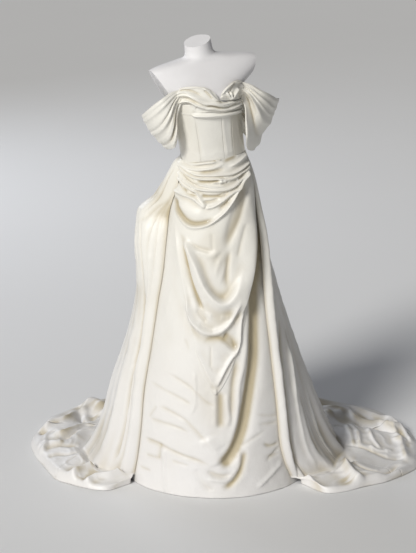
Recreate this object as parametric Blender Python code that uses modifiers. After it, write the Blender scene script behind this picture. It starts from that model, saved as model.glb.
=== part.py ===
"""Evening gown with a draped front and a train, standing on a limbless dress form.

The gown is cut in panels. Each panel is a wall of cloth WALL thick, lofted
through sections that are worked out from the tables below. Heights are above
the floor; bearings are degrees round the body from the front (-Y), positive
towards +X, and 180 is the middle of the back. All lengths are in metres.
"""
import math

import bpy
from mathutils import Matrix, Vector

OBJECT_NAME = "evening_gown_on_dress_form"

# --- driving dimensions -------------------------------------------------
WALL = 0.002                # thickness of the cloth
SEAM_GAP = 0.0006           # between panels that are sewn edge to edge
LAYER = WALL + 0.0008       # from the middle of one cloth to the next one on it
HEM_HEIGHT = 0.0032         # middle of the lowest cloth above the floor
WAIST = Vector((-0.008, 0.0, 1.155))
TURN = 20.0                 # the upper body is turned towards +X
LEAN = 8.0                  # and leans towards -X
SETTLE = 0.20               # length below the waist over which both fade out
FORM_GAP = 0.0026           # from the middle of the bodice cloth to the form
SEAT_GAP = 0.0003           # between hard pieces that touch

# --- body sections: height, half width, front depth, back depth -----------
BODY_SECTIONS = (
    (1.155, 0.1120, 0.0900, 0.0860),
    (1.200, 0.1125, 0.0925, 0.0860),
    (1.250, 0.1150, 0.1000, 0.0890),
    (1.290, 0.1185, 0.1075, 0.0915),
    (1.330, 0.1220, 0.1165, 0.0935),
    (1.370, 0.1255, 0.1190, 0.0945),
    (1.430, 0.1330, 0.1130, 0.0940),
)

# --- skirt sections: height, side shift, half width, front depth, back depth
SKIRT_SECTIONS = (
    (0.000, 0.008, 0.322, 0.2800, 0.2900),
    (0.300, 0.008, 0.285, 0.2400, 0.2550),
    (0.500, 0.008, 0.241, 0.2080, 0.2200),
    (0.620, 0.007, 0.215, 0.1880, 0.1980),
    (0.740, 0.006, 0.190, 0.1690, 0.1760),
    (0.850, 0.004, 0.171, 0.1520, 0.1600),
    (0.970, 0.002, 0.149, 0.1320, 0.1400),
    (1.050, 0.001, 0.133, 0.1160, 0.1200),
    (1.100, 0.000, 0.1225, 0.1040, 0.1040),
    (1.155, 0.000, 0.1120, 0.0900, 0.0860),
)

# --- dress form above the gown and inside it ------------------------------
FORM_SECTIONS = (
    (0.880, 0.1380, 0.1180, 0.1250),
    (0.900, 0.1460, 0.1270, 0.1340),
    (0.970, 0.1400, 0.1210, 0.1270),
    (1.050, 0.1220, 0.1030, 0.1060),
    (1.100, 0.1140, 0.0940, 0.0930),
    *((h, a - FORM_GAP, f - FORM_GAP, b - FORM_GAP) for h, a, f, b in BODY_SECTIONS[:4]),
    (1.330, 0.1188, 0.1120, 0.0902),
    (1.368, 0.1226, 0.1140, 0.0915),
    (1.388, 0.1400, 0.1050, 0.0905),
    (1.412, 0.1720, 0.0950, 0.0880),
    (1.438, 0.1960, 0.0820, 0.0810),
    (1.461, 0.2060, 0.0690, 0.0710),
    (1.477, 0.2000, 0.0600, 0.0620),
    (1.489, 0.1640, 0.0545, 0.0560),
    (1.499, 0.1020, 0.0520, 0.0530),
    (1.506, 0.0620, 0.0500, 0.0500),
    (1.515, 0.0510, 0.0475, 0.0470),
    (1.535, 0.0468, 0.0450, 0.0445),
    (1.600, 0.0440, 0.0430, 0.0425),
)
FORM_SIDES = 48
SHOULDER_TIP = (0.188, 1.482)       # side and height where the arm cut meets the shoulder
ARMPIT = (0.141, 1.380)             # side and height where it ends
NECK_TOP = 1.556
NECK_SLANT = 13.0                   # the neck is cut lower at the front
NECK_TILT = 9.0                     # and lower towards -X
SHOULDER_SHIFT = 0.012              # the shoulders sit this far over towards +X
SHOULDER_TILT = 0.042               # and slope down towards +X by this much
SHOULDER_RISE = (1.400, 1.470)      # heights over which both grow
SHOULDER_REACH = (0.03, 0.09)       # and the distances from the middle over which they grow
CUTTER_SIZE = 0.40

BASE_RADIUS = 0.150
BASE_THICKNESS = 0.012
BASE_EDGE = 0.003
BASE_SIDES = 48
POLE_RADIUS = 0.0125
POLE_SIDES = 32

# --- skirt: rows of cloth, and panels: name, first bearing, last, columns ----
SKIRT_HEIGHTS = (1.1546, 1.12, 1.08, 1.03, 0.97, 0.90, 0.80, 0.66, 0.50, 0.33, 0.16, HEM_HEIGHT)
SKIRT_PANELS = (
    ("skirt_front", -100, 100, 23),
    ("skirt_back", 100, 260, 13),
)

# --- cowl drape: swags from side to side over the skirt front --------------
# left bearing, left height, middle bearing, low height, right bearing, right
# height, how far its fold stands out, and how round its bottom is
SWAGS = (
    (-83, 1.1780, -20, 1.1590, 81, 1.1530, 0.002, 2.0),
    (-83, 1.1440, -20, 1.1250, 81, 1.1330, 0.004, 2.0),
    (-83, 1.1090, -10, 1.0880, 81, 1.1130, 0.006, 2.0),
    (-83, 1.0860, 0, 1.0450, 80, 1.0920, 0.007, 2.0),
    (-82, 1.0610, -5, 0.9950, 79, 1.0700, 0.008, 1.9),
    (-80, 1.0310, -25, 0.9250, 77, 1.0460, 0.010, 1.9),
    (-74, 0.9900, -8, 0.8500, 73, 1.0200, 0.014, 1.8),
    (-63, 0.9400, -2, 0.7450, 67, 0.9800, 0.013, 1.8),
    (-52, 0.9000, 6, 0.6720, 58, 0.9200, 0.012, 1.7),
    (-42, 0.8000, 2, 0.5700, 48, 0.8400, 0.013, 1.6),
    (-32, 0.7000, 0, 0.4600, 39, 0.7500, 0.010, 1.5),
    (-24, 0.6400, 0, 0.3650, 31, 0.6500, 0.006, 1.4),
)
COWL_COLUMNS = 15
ROWS_PER_SWAG = 2
COWL_SIDE = 0.12            # share of the half width over which the folds die out at a side
COWL_REST = 0.25            # share of a fold's depth that is left between folds and at the sides

# --- overskirt: how far it stands out from the skirt -----------------------
# height, bearing of the left front edge, bearing of the right front edge, then
# the stand-off at these shares of the way from the left edge to the right edge
ROUND_SHARES = (0.0, 0.065, 0.15, 0.26, 0.37, 0.5, 0.63, 0.74, 0.85, 0.935, 1.0)
OVERSKIRT_SECTIONS = (
    # floor     edges    left .......................... back ........................... right
    (0.030, -63, 56, 0.003, 0.094, 0.146, 0.192, 0.222, 0.246, 0.220, 0.180, 0.120, 0.066, 0.003),
    (0.100, -61, 50, 0.003, 0.072, 0.112, 0.152, 0.182, 0.206, 0.180, 0.140, 0.078, 0.040, 0.003),
    (0.200, -60, 47, 0.003, 0.056, 0.090, 0.126, 0.152, 0.174, 0.142, 0.102, 0.046, 0.024, 0.003),
    (0.350, -63, 48, 0.003, 0.047, 0.079, 0.106, 0.126, 0.140, 0.110, 0.068, 0.022, 0.012, 0.003),
    (0.500, -66, 51, 0.003, 0.042, 0.070, 0.092, 0.108, 0.116, 0.086, 0.052, 0.014, 0.008, 0.003),
    (0.650, -70, 55, 0.003, 0.048, 0.074, 0.088, 0.098, 0.098, 0.070, 0.042, 0.010, 0.006, 0.003),
    (0.800, -73, 64, 0.004, 0.080, 0.106, 0.104, 0.094, 0.084, 0.058, 0.034, 0.009, 0.005, 0.003),
    (0.900, -80, 72, 0.006, 0.097, 0.119, 0.110, 0.090, 0.072, 0.050, 0.028, 0.009, 0.005, 0.003),
    (0.940, -86, 76, 0.006, 0.103, 0.126, 0.112, 0.088, 0.066, 0.046, 0.026, 0.008, 0.005, 0.003),
    (1.000, -88, 81, 0.006, 0.064, 0.084, 0.078, 0.064, 0.050, 0.038, 0.022, 0.008, 0.005, 0.003),
    (1.050, -88, 84, 0.005, 0.052, 0.070, 0.060, 0.046, 0.034, 0.028, 0.018, 0.007, 0.005, 0.003),
    (1.110, -88, 86, 0.004, 0.040, 0.052, 0.042, 0.026, 0.014, 0.012, 0.010, 0.006, 0.003, 0.002),
    (1.135, -87, 86, 0.003, 0.031, 0.040, 0.030, 0.016, 0.008, 0.006, 0.005, 0.004, 0.002, 0.001),
    (1.153, -86, 85, 0.0, 0.0, 0.0, 0.0, 0.0, 0.0, 0.0, 0.0, 0.0, 0.0, 0.0),
)
# where the cloth of the train ends on the floor: share of the way round, x, y
TRAIN_OUTLINE = (
    (0.000, -0.300, -0.150),
    (0.040, -0.385, -0.212),
    (0.080, -0.470, -0.182),
    (0.135, -0.560, -0.115),
    (0.200, -0.634, 0.030),
    (0.275, -0.681, 0.250),
    (0.340, -0.650, 0.400),
    (0.400, -0.562, 0.575),
    (0.450, -0.340, 0.730),
    (0.500, 0.000, 0.800),
    (0.550, 0.340, 0.720),
    (0.600, 0.590, 0.570),
    (0.660, 0.712, 0.415),
    (0.725, 0.755, 0.240),
    (0.800, 0.740, 0.050),
    (0.865, 0.660, -0.090),
    (0.920, 0.530, -0.175),
    (0.960, 0.400, -0.236),
    (1.000, 0.304, -0.150),
)
# soft upright folds: share of the way round, half width in the same share,
# depth at the floor, height where the fold begins
UPRIGHT_FOLDS = (
    (0.085, 0.026, 0.012, 0.95),
    (0.182, 0.032, 0.020, 0.98),
    (0.258, 0.034, 0.024, 1.03),
    (0.352, 0.034, 0.024, 1.00),
    (0.428, 0.040, 0.026, 1.06),
    (0.552, 0.040, 0.028, 1.05),
    (0.638, 0.036, 0.024, 1.02),
    (0.735, 0.036, 0.022, 0.96),
    (0.812, 0.034, 0.018, 0.85),
    (0.905, 0.030, 0.014, 0.74),
)
# folds that lie on the floor: x, y, half length, half width, heading, height
FLOOR_FOLDS = (
    (-0.50, -0.06, 0.14, 0.040, 60, 0.034),
    (-0.56, 0.12, 0.13, 0.045, 95, 0.036),
    (-0.56, 0.32, 0.15, 0.045, 120, 0.034),
    (-0.42, 0.50, 0.15, 0.050, 145, 0.038),
    (-0.14, 0.66, 0.16, 0.050, 175, 0.040),
    (0.20, 0.66, 0.16, 0.050, 10, 0.040),
    (0.46, 0.50, 0.15, 0.050, 35, 0.038),
    (0.61, 0.29, 0.15, 0.045, 65, 0.036),
    (0.62, 0.10, 0.14, 0.045, 95, 0.036),
    (0.54, -0.05, 0.14, 0.040, 130, 0.036),
)
FRONT_ROLL_WIDTH = 0.040            # the front edges of the overskirt are rolled
FRONT_ROLL_HEIGHT = 0.013
FRONT_ROLL_START = 0.10             # length below the waist over which the roll grows
FLOOR_FOLD_START = 0.3              # share of the way out over which the floor folds rise
FLOOR_FOLD_END = 0.2                # and over which they fall again towards the outline
FLOOR_SWEEP = 3                     # how sharply the cloth turns from hanging to lying
# the gores of the overskirt: name, first share of the way round, last, columns
GORES = (
    ("overskirt_front_left", 0.0, 0.14, 10),
    ("train_side_left", 0.14, 0.31, 10),
    ("train_back_left", 0.31, 0.50, 10),
    ("train_back_right", 0.50, 0.69, 10),
    ("train_side_right", 0.69, 0.86, 10),
    ("overskirt_front_right", 0.86, 1.0, 10),
)
HANGING_ROWS = (0.0, 0.04, 0.09, 0.14, 0.19, 0.25, 0.36, 0.50, 0.66, 0.82, 0.93, 1.0)
LYING_ROWS = (1.15, 1.36, 1.58, 1.80, 2.0)

# --- bust: bearing, top height, bottom height, fullness ---------------------
LEFT_BUST = (
    (-62, 1.412, 1.366, 0.002),
    (-52, 1.423, 1.368, 0.007),
    (-44, 1.427, 1.365, 0.010),
    (-36, 1.428, 1.340, 0.012),
    (-22, 1.424, 1.334, 0.013),
    (-11, 1.415, 1.330, 0.013),
    (-4, 1.400, 1.326, 0.012),
    (5, 1.366, 1.321, 0.009),
    (25, 1.352, 1.317, 0.007),
    (45, 1.347, 1.313, 0.005),
    (62, 1.344, 1.309, 0.001),
)
RIGHT_BUST = (
    (6, 1.374, 1.3675, 0.002),
    (10, 1.390, 1.3645, 0.005),
    (16, 1.402, 1.3595, 0.009),
    (24, 1.411, 1.3540, 0.012),
    (33, 1.416, 1.3510, 0.013),
    (42, 1.414, 1.3490, 0.010),
    (52, 1.409, 1.3475, 0.006),
    (62, 1.404, 1.3460, 0.001),
)
UNDERBUST = (
    (-62, 1.3400, 1.3320, 0.001),
    (-44, 1.3340, 1.3260, 0.002),
    (-37, 1.3380, 1.3170, 0.005),
    (-22, 1.3325, 1.3100, 0.006),
    (-11, 1.3285, 1.3065, 0.006),
    (5, 1.3195, 1.3040, 0.006),
    (25, 1.3155, 1.3025, 0.005),
    (45, 1.3115, 1.2970, 0.004),
    (62, 1.3075, 1.2940, 0.001),
)
# the three bands: name, table, columns, rows, pleats
BANDS = (
    ("bust_drape_left", LEFT_BUST, 21, 8, 3),
    ("bust_drape_right", RIGHT_BUST, 11, 8, 3),
    ("underbust_band", UNDERBUST, 18, 5, 1),
)
BAND_SWELL = 0.55           # share of a band's fullness that is one round swell
BAND_PLEATING = 0.45        # and the share that is its pleats
SWELL_FADE = 0.5            # share of the height over which the swell dies at the lower edge
PLEAT_FADE = 0.25           # and over which the pleats die
CHEST_GAP = 0.002           # more room between the drape's top edge and the form

# --- off-shoulder sleeves, from the front of the armhole round to the back --
# top edge x, y, height, then lower edge x, y, height (x is outwards)
LEFT_SLEEVE = (
    (0.1149, -0.0508, 1.366, 0.1117, -0.0494, 1.326),
    (0.1400, -0.0740, 1.416, 0.1330, -0.0660, 1.318),
    (0.1720, -0.0800, 1.405, 0.1390, -0.0700, 1.266),
    (0.2000, -0.0680, 1.388, 0.1490, -0.0660, 1.232),
    (0.2220, -0.0400, 1.366, 0.1570, -0.0450, 1.220),
    (0.2300, 0.0000, 1.346, 0.1620, -0.0050, 1.214),
    (0.2120, 0.0400, 1.336, 0.1600, 0.0360, 1.216),
    (0.1800, 0.0660, 1.322, 0.1500, 0.0600, 1.224),
    (0.1480, 0.0740, 1.318, 0.1380, 0.0680, 1.244),
    (0.1260, 0.0600, 1.326, 0.1240, 0.0560, 1.274),
    (0.1129, 0.0405, 1.340, 0.1107, 0.0400, 1.312),
)
RIGHT_SLEEVE = (
    (0.1149, -0.0508, 1.366, 0.1117, -0.0494, 1.326),
    (0.1480, -0.0700, 1.386, 0.1230, -0.0710, 1.314),
    (0.1780, -0.0740, 1.360, 0.1210, -0.0790, 1.268),
    (0.2130, -0.0600, 1.336, 0.1130, -0.0750, 1.206),
    (0.2440, -0.0300, 1.312, 0.1180, -0.0540, 1.164),
    (0.2690, 0.0100, 1.298, 0.1500, -0.0100, 1.146),
    (0.2560, 0.0480, 1.276, 0.1600, 0.0340, 1.160),
    (0.2140, 0.0760, 1.264, 0.1520, 0.0600, 1.180),
    (0.1680, 0.0820, 1.296, 0.1400, 0.0680, 1.206),
    (0.1300, 0.0640, 1.326, 0.1240, 0.0580, 1.256),
    (0.1129, 0.0405, 1.340, 0.1107, 0.0400, 1.312),
)
SLEEVE_PLEATS = 3
SLEEVE_PLEAT_DEPTH = 0.005
SLEEVE_SWELL = 0.010
SLEEVE_ROWS = 6
SLEEVE_COLUMNS = 19
ARM_AXIS = 0.16             # how far out the middle of the loop is

# --- bodice panels: name, first bearing, last bearing, columns --------------
BODICE_PANELS = (
    ("bodice_front_left", -38, 5, 6),
    ("bodice_front_right", 5, 24, 4),
    ("bodice_side_left", -100, -38, 8),
    ("bodice_side_right", 24, 100, 9),
    ("bodice_back_left", -180, -100, 9),
    ("bodice_back_right", 100, 180, 9),
)
BODICE_ROWS = 5
# its top edge: bearing, height
BODICE_TOP = (
    (-180, 1.335),
    (-100, 1.352),
    (-60, 1.368),
    (0, 1.350),
    (60, 1.368),
    (100, 1.352),
    (180, 1.335),
)

BUTTON_COUNT = 11
BUTTON_RADIUS = 0.0050
BUTTON_HALF_THICKNESS = 0.0026
BUTTON_BEARING = 176.8
BUTTON_FIRST = 1.172
BUTTON_LAST = 1.322
BUTTON_SIDES = 12
BUTTON_RINGS = 6

# --- finishes: colour, roughness, metallic -------------------------------------
SATIN = ((0.86, 0.82, 0.69, 1.0), 0.4, 0.0)
FORM_SHELL = ((0.80, 0.79, 0.77, 1.0), 0.75, 0.0)
STEEL = ((0.55, 0.55, 0.55, 1.0), 0.35, 1.0)


# --- curves through table rows ----------------------------------------------
def along(xs, ys, x):
    """Smooth curve through the points (xs, ys) with xs rising, held at its ends."""
    if x <= xs[0]:
        return ys[0]
    if x >= xs[-1]:
        return ys[-1]
    i = 0
    while x > xs[i + 1]:
        i += 1
    step = xs[i + 1] - xs[i]
    slope = (ys[i + 1] - ys[i]) / step
    before = (ys[i] - ys[i - 1]) / (xs[i] - xs[i - 1]) if i > 0 else slope
    after = (ys[i + 2] - ys[i + 1]) / (xs[i + 2] - xs[i + 1]) if i + 2 < len(xs) else slope
    start = (before + slope) / 2 if before * slope > 0 else 0.0
    end = (after + slope) / 2 if after * slope > 0 else 0.0
    t = (x - xs[i]) / step
    return (
        ys[i] * (1 + 2 * t) * (1 - t) ** 2
        + start * step * t * (1 - t) ** 2
        + ys[i + 1] * t * t * (3 - 2 * t)
        + end * step * t * t * (t - 1)
    )


def column(table, index):
    return [row[index] for row in table]


def section(table, height):
    """The table's other columns at a height."""
    heights = column(table, 0)
    return [along(heights, column(table, i), height) for i in range(1, len(table[0]))]


def smooth_step(t):
    t = min(max(t, 0.0), 1.0)
    return t * t * (3 - 2 * t)


# --- frames -------------------------------------------------------------------
def between(span, value):
    """How far a value is along a span, from 0 to 1, rising smoothly."""
    return smooth_step((value - span[0]) / (span[1] - span[0]))


def share_of_lean(height):
    return smooth_step(1 - (WAIST.z - height) / SETTLE)


def placed(point, share=1.0):
    """Turn and lean a point of the body about the waist."""
    turn = Matrix.Rotation(math.radians(TURN * share), 3, "Z")
    lean = Matrix.Rotation(math.radians(-LEAN * share), 3, "Y")
    local = Vector(point) - Vector((0.0, 0.0, WAIST.z))
    return lean @ (turn @ local) + WAIST


def oval(bearing, half_width, front, back):
    angle = math.radians(bearing)
    depth = front if math.cos(angle) > 0 else back
    return half_width * math.sin(angle), -depth * math.cos(angle)


def body_point(bearing, height, out=0.0):
    half_width, front, back = section(BODY_SECTIONS, height)
    x, y = oval(bearing, half_width + out, front + out, back + out)
    return placed((x, y, height))


def clear_of_form(x, y, height, out):
    """Move a point of the front forward to lie clear of the chest of the form."""
    half_width, front, _ = section(FORM_SECTIONS, height)
    chest = -front * math.sqrt(max(1 - (x / half_width) ** 2, 0.0))
    return min(y, chest - out)


def skirt_point(bearing, height, out=0.0):
    """A point out from the skirt, at a bearing seen in the world."""
    shift, half_width, front, back = section(SKIRT_SECTIONS, height)
    share = share_of_lean(height)
    x, y = oval(bearing - TURN * share, half_width + out, front + out, back + out)
    return placed((x + shift, y, height), share)


# --- building -------------------------------------------------------------------
def new_material(name, finish):
    color, roughness, metallic = finish
    material = bpy.data.materials.new(name)
    material.use_nodes = True
    shader = material.node_tree.nodes["Principled BSDF"]
    shader.inputs["Base Color"].default_value = color
    shader.inputs["Roughness"].default_value = roughness
    shader.inputs["Metallic"].default_value = metallic
    return material


def finish_object(obj, collection, finish):
    for old in list(obj.users_collection):
        old.objects.unlink(obj)
    collection.objects.link(obj)
    obj.data.materials.clear()
    obj.data.materials.append(new_material(obj.name, finish))
    obj.data.shade_smooth()


def mesh_object(name, points, faces):
    mesh = bpy.data.meshes.new(name)
    mesh.from_pydata(points, [], faces)
    mesh.update()
    return bpy.data.objects.new(name, mesh)


def trimmed(grid):
    """Take half a seam gap off the first and last column."""
    for row in grid:
        for edge, inner in ((0, 1), (-1, -2)):
            step = row[inner] - row[edge]
            row[edge] = row[edge] + step.normalized() * (SEAM_GAP / 2)
    return grid


def cloth(name, grid, parts):
    """A wall of cloth through a grid of points, rows from top to bottom."""
    columns = len(grid[0])
    points = [point for row in grid for point in row]
    faces = []
    for r in range(len(grid) - 1):
        for c in range(columns - 1):
            corner = r * columns + c
            faces.append((corner, corner + columns, corner + columns + 1, corner + 1))
    obj = mesh_object(name, points, faces)
    finish_object(obj, parts, SATIN)
    wall = obj.modifiers.new("cloth thickness", "SOLIDIFY")
    wall.thickness = WALL
    wall.offset = 0.0
    return obj


def even(first, last, count):
    return [first + (last - first) * i / (count - 1) for i in range(count)]


# --- bodice ----------------------------------------------------------------------
def bodice_panel(name, first, last, columns, parts):
    bearings = column(BODICE_TOP, 0)
    tops = column(BODICE_TOP, 1)
    grid = []
    low = WAIST.z + SEAM_GAP
    for share in even(1.0, 0.0, BODICE_ROWS):
        row = []
        for bearing in even(first, last, columns):
            height = low + (along(bearings, tops, bearing) - low) * share
            row.append(body_point(bearing, height))
        grid.append(row)
    cloth(name, trimmed(grid), parts)


def band(name, table, columns, rows, pleats, parts):
    """A draped band on the bodice, fuller between its edges, with soft pleats."""
    bearings = column(table, 0)
    grid = []
    for share in even(0.0, 1.0, rows):
        swell = BAND_SWELL * smooth_step((1 - share) / SWELL_FADE)
        wave = 0.5 - 0.5 * math.cos(2 * math.pi * pleats * share)
        pleating = BAND_PLEATING * wave * smooth_step((1 - share) / PLEAT_FADE)
        row = []
        for bearing in even(bearings[0], bearings[-1], columns):
            top = along(bearings, column(table, 1), bearing)
            bottom = along(bearings, column(table, 2), bearing)
            full = along(bearings, column(table, 3), bearing)
            out = LAYER + full * (swell + pleating)
            height = top + (bottom - top) * share
            half_width, front, back = section(BODY_SECTIONS, height)
            x, y = oval(bearing, half_width + out, front + out, back + out)
            row.append(placed((x, clear_of_form(x, y, height, LAYER + CHEST_GAP), height)))
        grid.append(row)
    cloth(name, trimmed(grid), parts)


def sleeve(name, table, side, parts):
    """A pleated strap that hangs in a loop beside the body."""
    places = even(0.0, 1.0, len(table))
    grid = []
    for across in even(0.0, 1.0, SLEEVE_ROWS):
        row = []
        for share in even(0.0, 1.0, SLEEVE_COLUMNS):
            edges = [along(places, column(table, i), share) for i in range(len(table[0]))]
            top = Vector(edges[:3])
            low = Vector(edges[3:])
            point = top.lerp(low, across)
            away = Vector((point.x - ARM_AXIS, point.y, 0.0))
            swell = math.sin(math.pi * share) * math.sin(math.pi * across)
            pleat = 0.5 - 0.5 * math.cos(2 * math.pi * SLEEVE_PLEATS * across)
            push = swell * (SLEEVE_SWELL + SLEEVE_PLEAT_DEPTH * pleat)
            point = point + away.normalized() * push
            row.append(placed((side * point.x, point.y, point.z)))
        grid.append(row if side > 0 else row[::-1])
    cloth(name, grid, parts)


def buttons(parts):
    for number, height in enumerate(even(BUTTON_FIRST, BUTTON_LAST, BUTTON_COUNT), start=1):
        out = WALL / 2 + SEAT_GAP + BUTTON_HALF_THICKNESS
        middle = body_point(BUTTON_BEARING, height, out)
        outward = (middle - body_point(BUTTON_BEARING, height)).normalized()
        bpy.ops.mesh.primitive_uv_sphere_add(
            segments=BUTTON_SIDES, ring_count=BUTTON_RINGS, radius=BUTTON_RADIUS
        )
        button = bpy.context.object
        button.name = "back_button_%02d" % number
        flatten = Matrix.Diagonal((1.0, 1.0, BUTTON_HALF_THICKNESS / BUTTON_RADIUS, 1.0))
        button.data.transform(flatten)
        button.rotation_mode = "QUATERNION"
        button.rotation_quaternion = outward.to_track_quat("Z", "Y")
        button.location = middle
        finish_object(button, parts, SATIN)


# --- skirt -----------------------------------------------------------------------
def skirt_panel(name, first, last, columns, parts):
    grid = [[skirt_point(b, h) for b in even(first, last, columns)] for h in SKIRT_HEIGHTS]
    cloth(name, trimmed(grid), parts)


def across_left(side):
    """Weight of the left end on a curve through three points."""
    return side * (side - 1) / 2


def cowl_point(across, down):
    """A point of the draped overlay: across from side to side, down by swags."""
    places = list(range(len(SWAGS)))
    left, left_z, middle, low_z, right, right_z, depth, power = [
        along(places, column(SWAGS, i), down) for i in range(len(SWAGS[0]))
    ]
    side = 2 * across - 1
    bearing = left * across_left(side) + middle * (1 - side * side) + right * across_left(-side)
    hang = 1 - abs(side) ** power
    height = (left_z + (right_z - left_z) * across) * (1 - hang) + low_z * hang
    fold = 0.5 - 0.5 * math.cos(2 * math.pi * down)
    inside = smooth_step((1 - abs(side)) / COWL_SIDE)
    share = (COWL_REST + (1 - COWL_REST) * inside) * (COWL_REST + (1 - COWL_REST) * fold)
    return skirt_point(bearing, height, LAYER + depth * share)


def cowl_drape(parts):
    last = len(SWAGS) - 1
    downs = even(0.0, last, ROWS_PER_SWAG * last + 1)
    grid = [[cowl_point(a, d) for a in even(0.0, 1.0, COWL_COLUMNS)] for d in downs]
    cloth("skirt_cowl_drape", grid, parts)


def overskirt_point(share, drop):
    """share runs from the left front edge (0) round the back to the right (1).

    drop runs down the hanging part (0 to 1) and out over the floor (1 to 2).
    """
    foot = OVERSKIRT_SECTIONS[0][0]
    top = OVERSKIRT_SECTIONS[-1][0]
    height = top + (foot - top) * min(drop, 1.0)
    left_edge, right_edge, *stands = section(OVERSKIRT_SECTIONS, height)
    to_back = 1 - abs(2 * share - 1)
    edge, back = (left_edge, -180) if share <= 0.5 else (right_edge, 180)
    bearing = edge + (back - edge) * to_back
    half_width = section(SKIRT_SECTIONS, height)[1]
    from_edge = math.radians(abs(bearing - edge)) * half_width
    grown = smooth_step((top - height) / FRONT_ROLL_START)
    roll = FRONT_ROLL_HEIGHT * grown * roll_shape(from_edge)
    out = along(ROUND_SHARES, stands, share) + folds_out(share, height) + roll
    point = skirt_point(bearing, height, LAYER + out)
    if drop > 1.0:
        point = floor_point(point, share, drop - 1.0)
    return point


def roll_shape(from_edge):
    """A half round along the front edge, its free edge turned in."""
    t = from_edge / FRONT_ROLL_WIDTH
    return math.sin(math.pi * t) if 0.0 < t < 1.0 else 0.0


def folds_out(share, height):
    out = 0.0
    for middle, half_width, depth, top in UPRIGHT_FOLDS:
        away = abs(share - middle) / half_width
        if away < 1.0 and height < top:
            out += depth * (0.5 + 0.5 * math.cos(math.pi * away)) * smooth_step((top - height) / top)
    return out


def floor_point(foot, share, reach):
    """A point of the train on the floor, between its foot and its outline."""
    x = along(column(TRAIN_OUTLINE, 0), column(TRAIN_OUTLINE, 1), share)
    y = along(column(TRAIN_OUTLINE, 0), column(TRAIN_OUTLINE, 2), share)
    point = foot.lerp(Vector((x, y, HEM_HEIGHT)), reach)
    point.z = HEM_HEIGHT + (foot.z - HEM_HEIGHT) * (1 - reach) ** FLOOR_SWEEP
    room = smooth_step(reach / FLOOR_FOLD_START) * smooth_step((1 - reach) / FLOOR_FOLD_END)
    point.z += room * floor_folds_up(point.x, point.y)
    return point


def floor_folds_up(x, y):
    up = 0.0
    for fold_x, fold_y, half_length, half_width, heading, height in FLOOR_FOLDS:
        angle = math.radians(heading)
        on = ((x - fold_x) * math.cos(angle) + (y - fold_y) * math.sin(angle)) / half_length
        off = ((y - fold_y) * math.cos(angle) - (x - fold_x) * math.sin(angle)) / half_width
        up += height * math.exp(-on * on - off * off)
    return up


def gore(name, first, last, columns, parts):
    rows = HANGING_ROWS + LYING_ROWS
    grid = [[overskirt_point(s, d) for s in even(first, last, columns)] for d in rows]
    cloth(name, trimmed(grid), parts)


# --- dress form and stand ----------------------------------------------------------
def form_torso(parts, cutters):
    points = []
    for height, half_width, front, back in FORM_SECTIONS:
        for side in range(FORM_SIDES):
            x, y = oval(360 * side / FORM_SIDES, half_width, front, back)
            grown = between(SHOULDER_RISE, height) * between(SHOULDER_REACH, abs(x))
            point = (x + SHOULDER_SHIFT * grown, y, height - SHOULDER_TILT * x * grown)
            points.append(placed(point, share_of_lean(height)))
    faces = []
    for ring in range(len(FORM_SECTIONS) - 1):
        for side in range(FORM_SIDES):
            a = ring * FORM_SIDES + side
            b = ring * FORM_SIDES + (side + 1) % FORM_SIDES
            faces.append((a, b, b + FORM_SIDES, a + FORM_SIDES))
    top = (len(FORM_SECTIONS) - 1) * FORM_SIDES
    faces.append(tuple(range(FORM_SIDES - 1, -1, -1)))
    faces.append(tuple(range(top, top + FORM_SIDES)))
    form = mesh_object("form_torso", points, faces)
    finish_object(form, parts, FORM_SHELL)

    slope = math.degrees(math.atan2(SHOULDER_TIP[0] - ARMPIT[0], SHOULDER_TIP[1] - ARMPIT[1]))
    for name, side in (("arm_cut_left", -1), ("arm_cut_right", 1)):
        middle = ((SHOULDER_TIP[0] + ARMPIT[0]) / 2, (SHOULDER_TIP[1] + ARMPIT[1]) / 2)
        angle = math.radians(side * slope)
        outward = Vector((side * math.cos(angle), 0.0, -side * math.sin(angle)))
        middle_cut = Vector((side * middle[0] + SHOULDER_SHIFT, 0.0, middle[1]))
        centre = middle_cut + outward * (CUTTER_SIZE / 2)
        cut(form, name, centre, Matrix.Rotation(angle, 3, "Y"), cutters)
    tilt = Matrix.Rotation(math.radians(-NECK_TILT), 3, "Y")
    slant = tilt @ Matrix.Rotation(math.radians(NECK_SLANT), 3, "X")
    centre = Vector((0.0, 0.0, NECK_TOP)) + slant @ Vector((0.0, 0.0, CUTTER_SIZE / 2))
    cut(form, "neck_cut", centre, slant, cutters)


def cut(form, name, centre, rotation, cutters):
    """Take a box off the form; the box is given in the body's own frame."""
    bpy.ops.mesh.primitive_cube_add(size=CUTTER_SIZE)
    box = bpy.context.object
    box.name = name
    body = Matrix.Rotation(math.radians(-LEAN), 3, "Y") @ Matrix.Rotation(math.radians(TURN), 3, "Z")
    box.matrix_world = Matrix.LocRotScale(placed(centre), (body @ rotation).to_quaternion(), None)
    for old in list(box.users_collection):
        old.objects.unlink(box)
    cutters.objects.link(box)
    box.hide_render = True
    box.display_type = "WIRE"
    trim = form.modifiers.new(name, "BOOLEAN")
    trim.operation = "DIFFERENCE"
    trim.object = box


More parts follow.
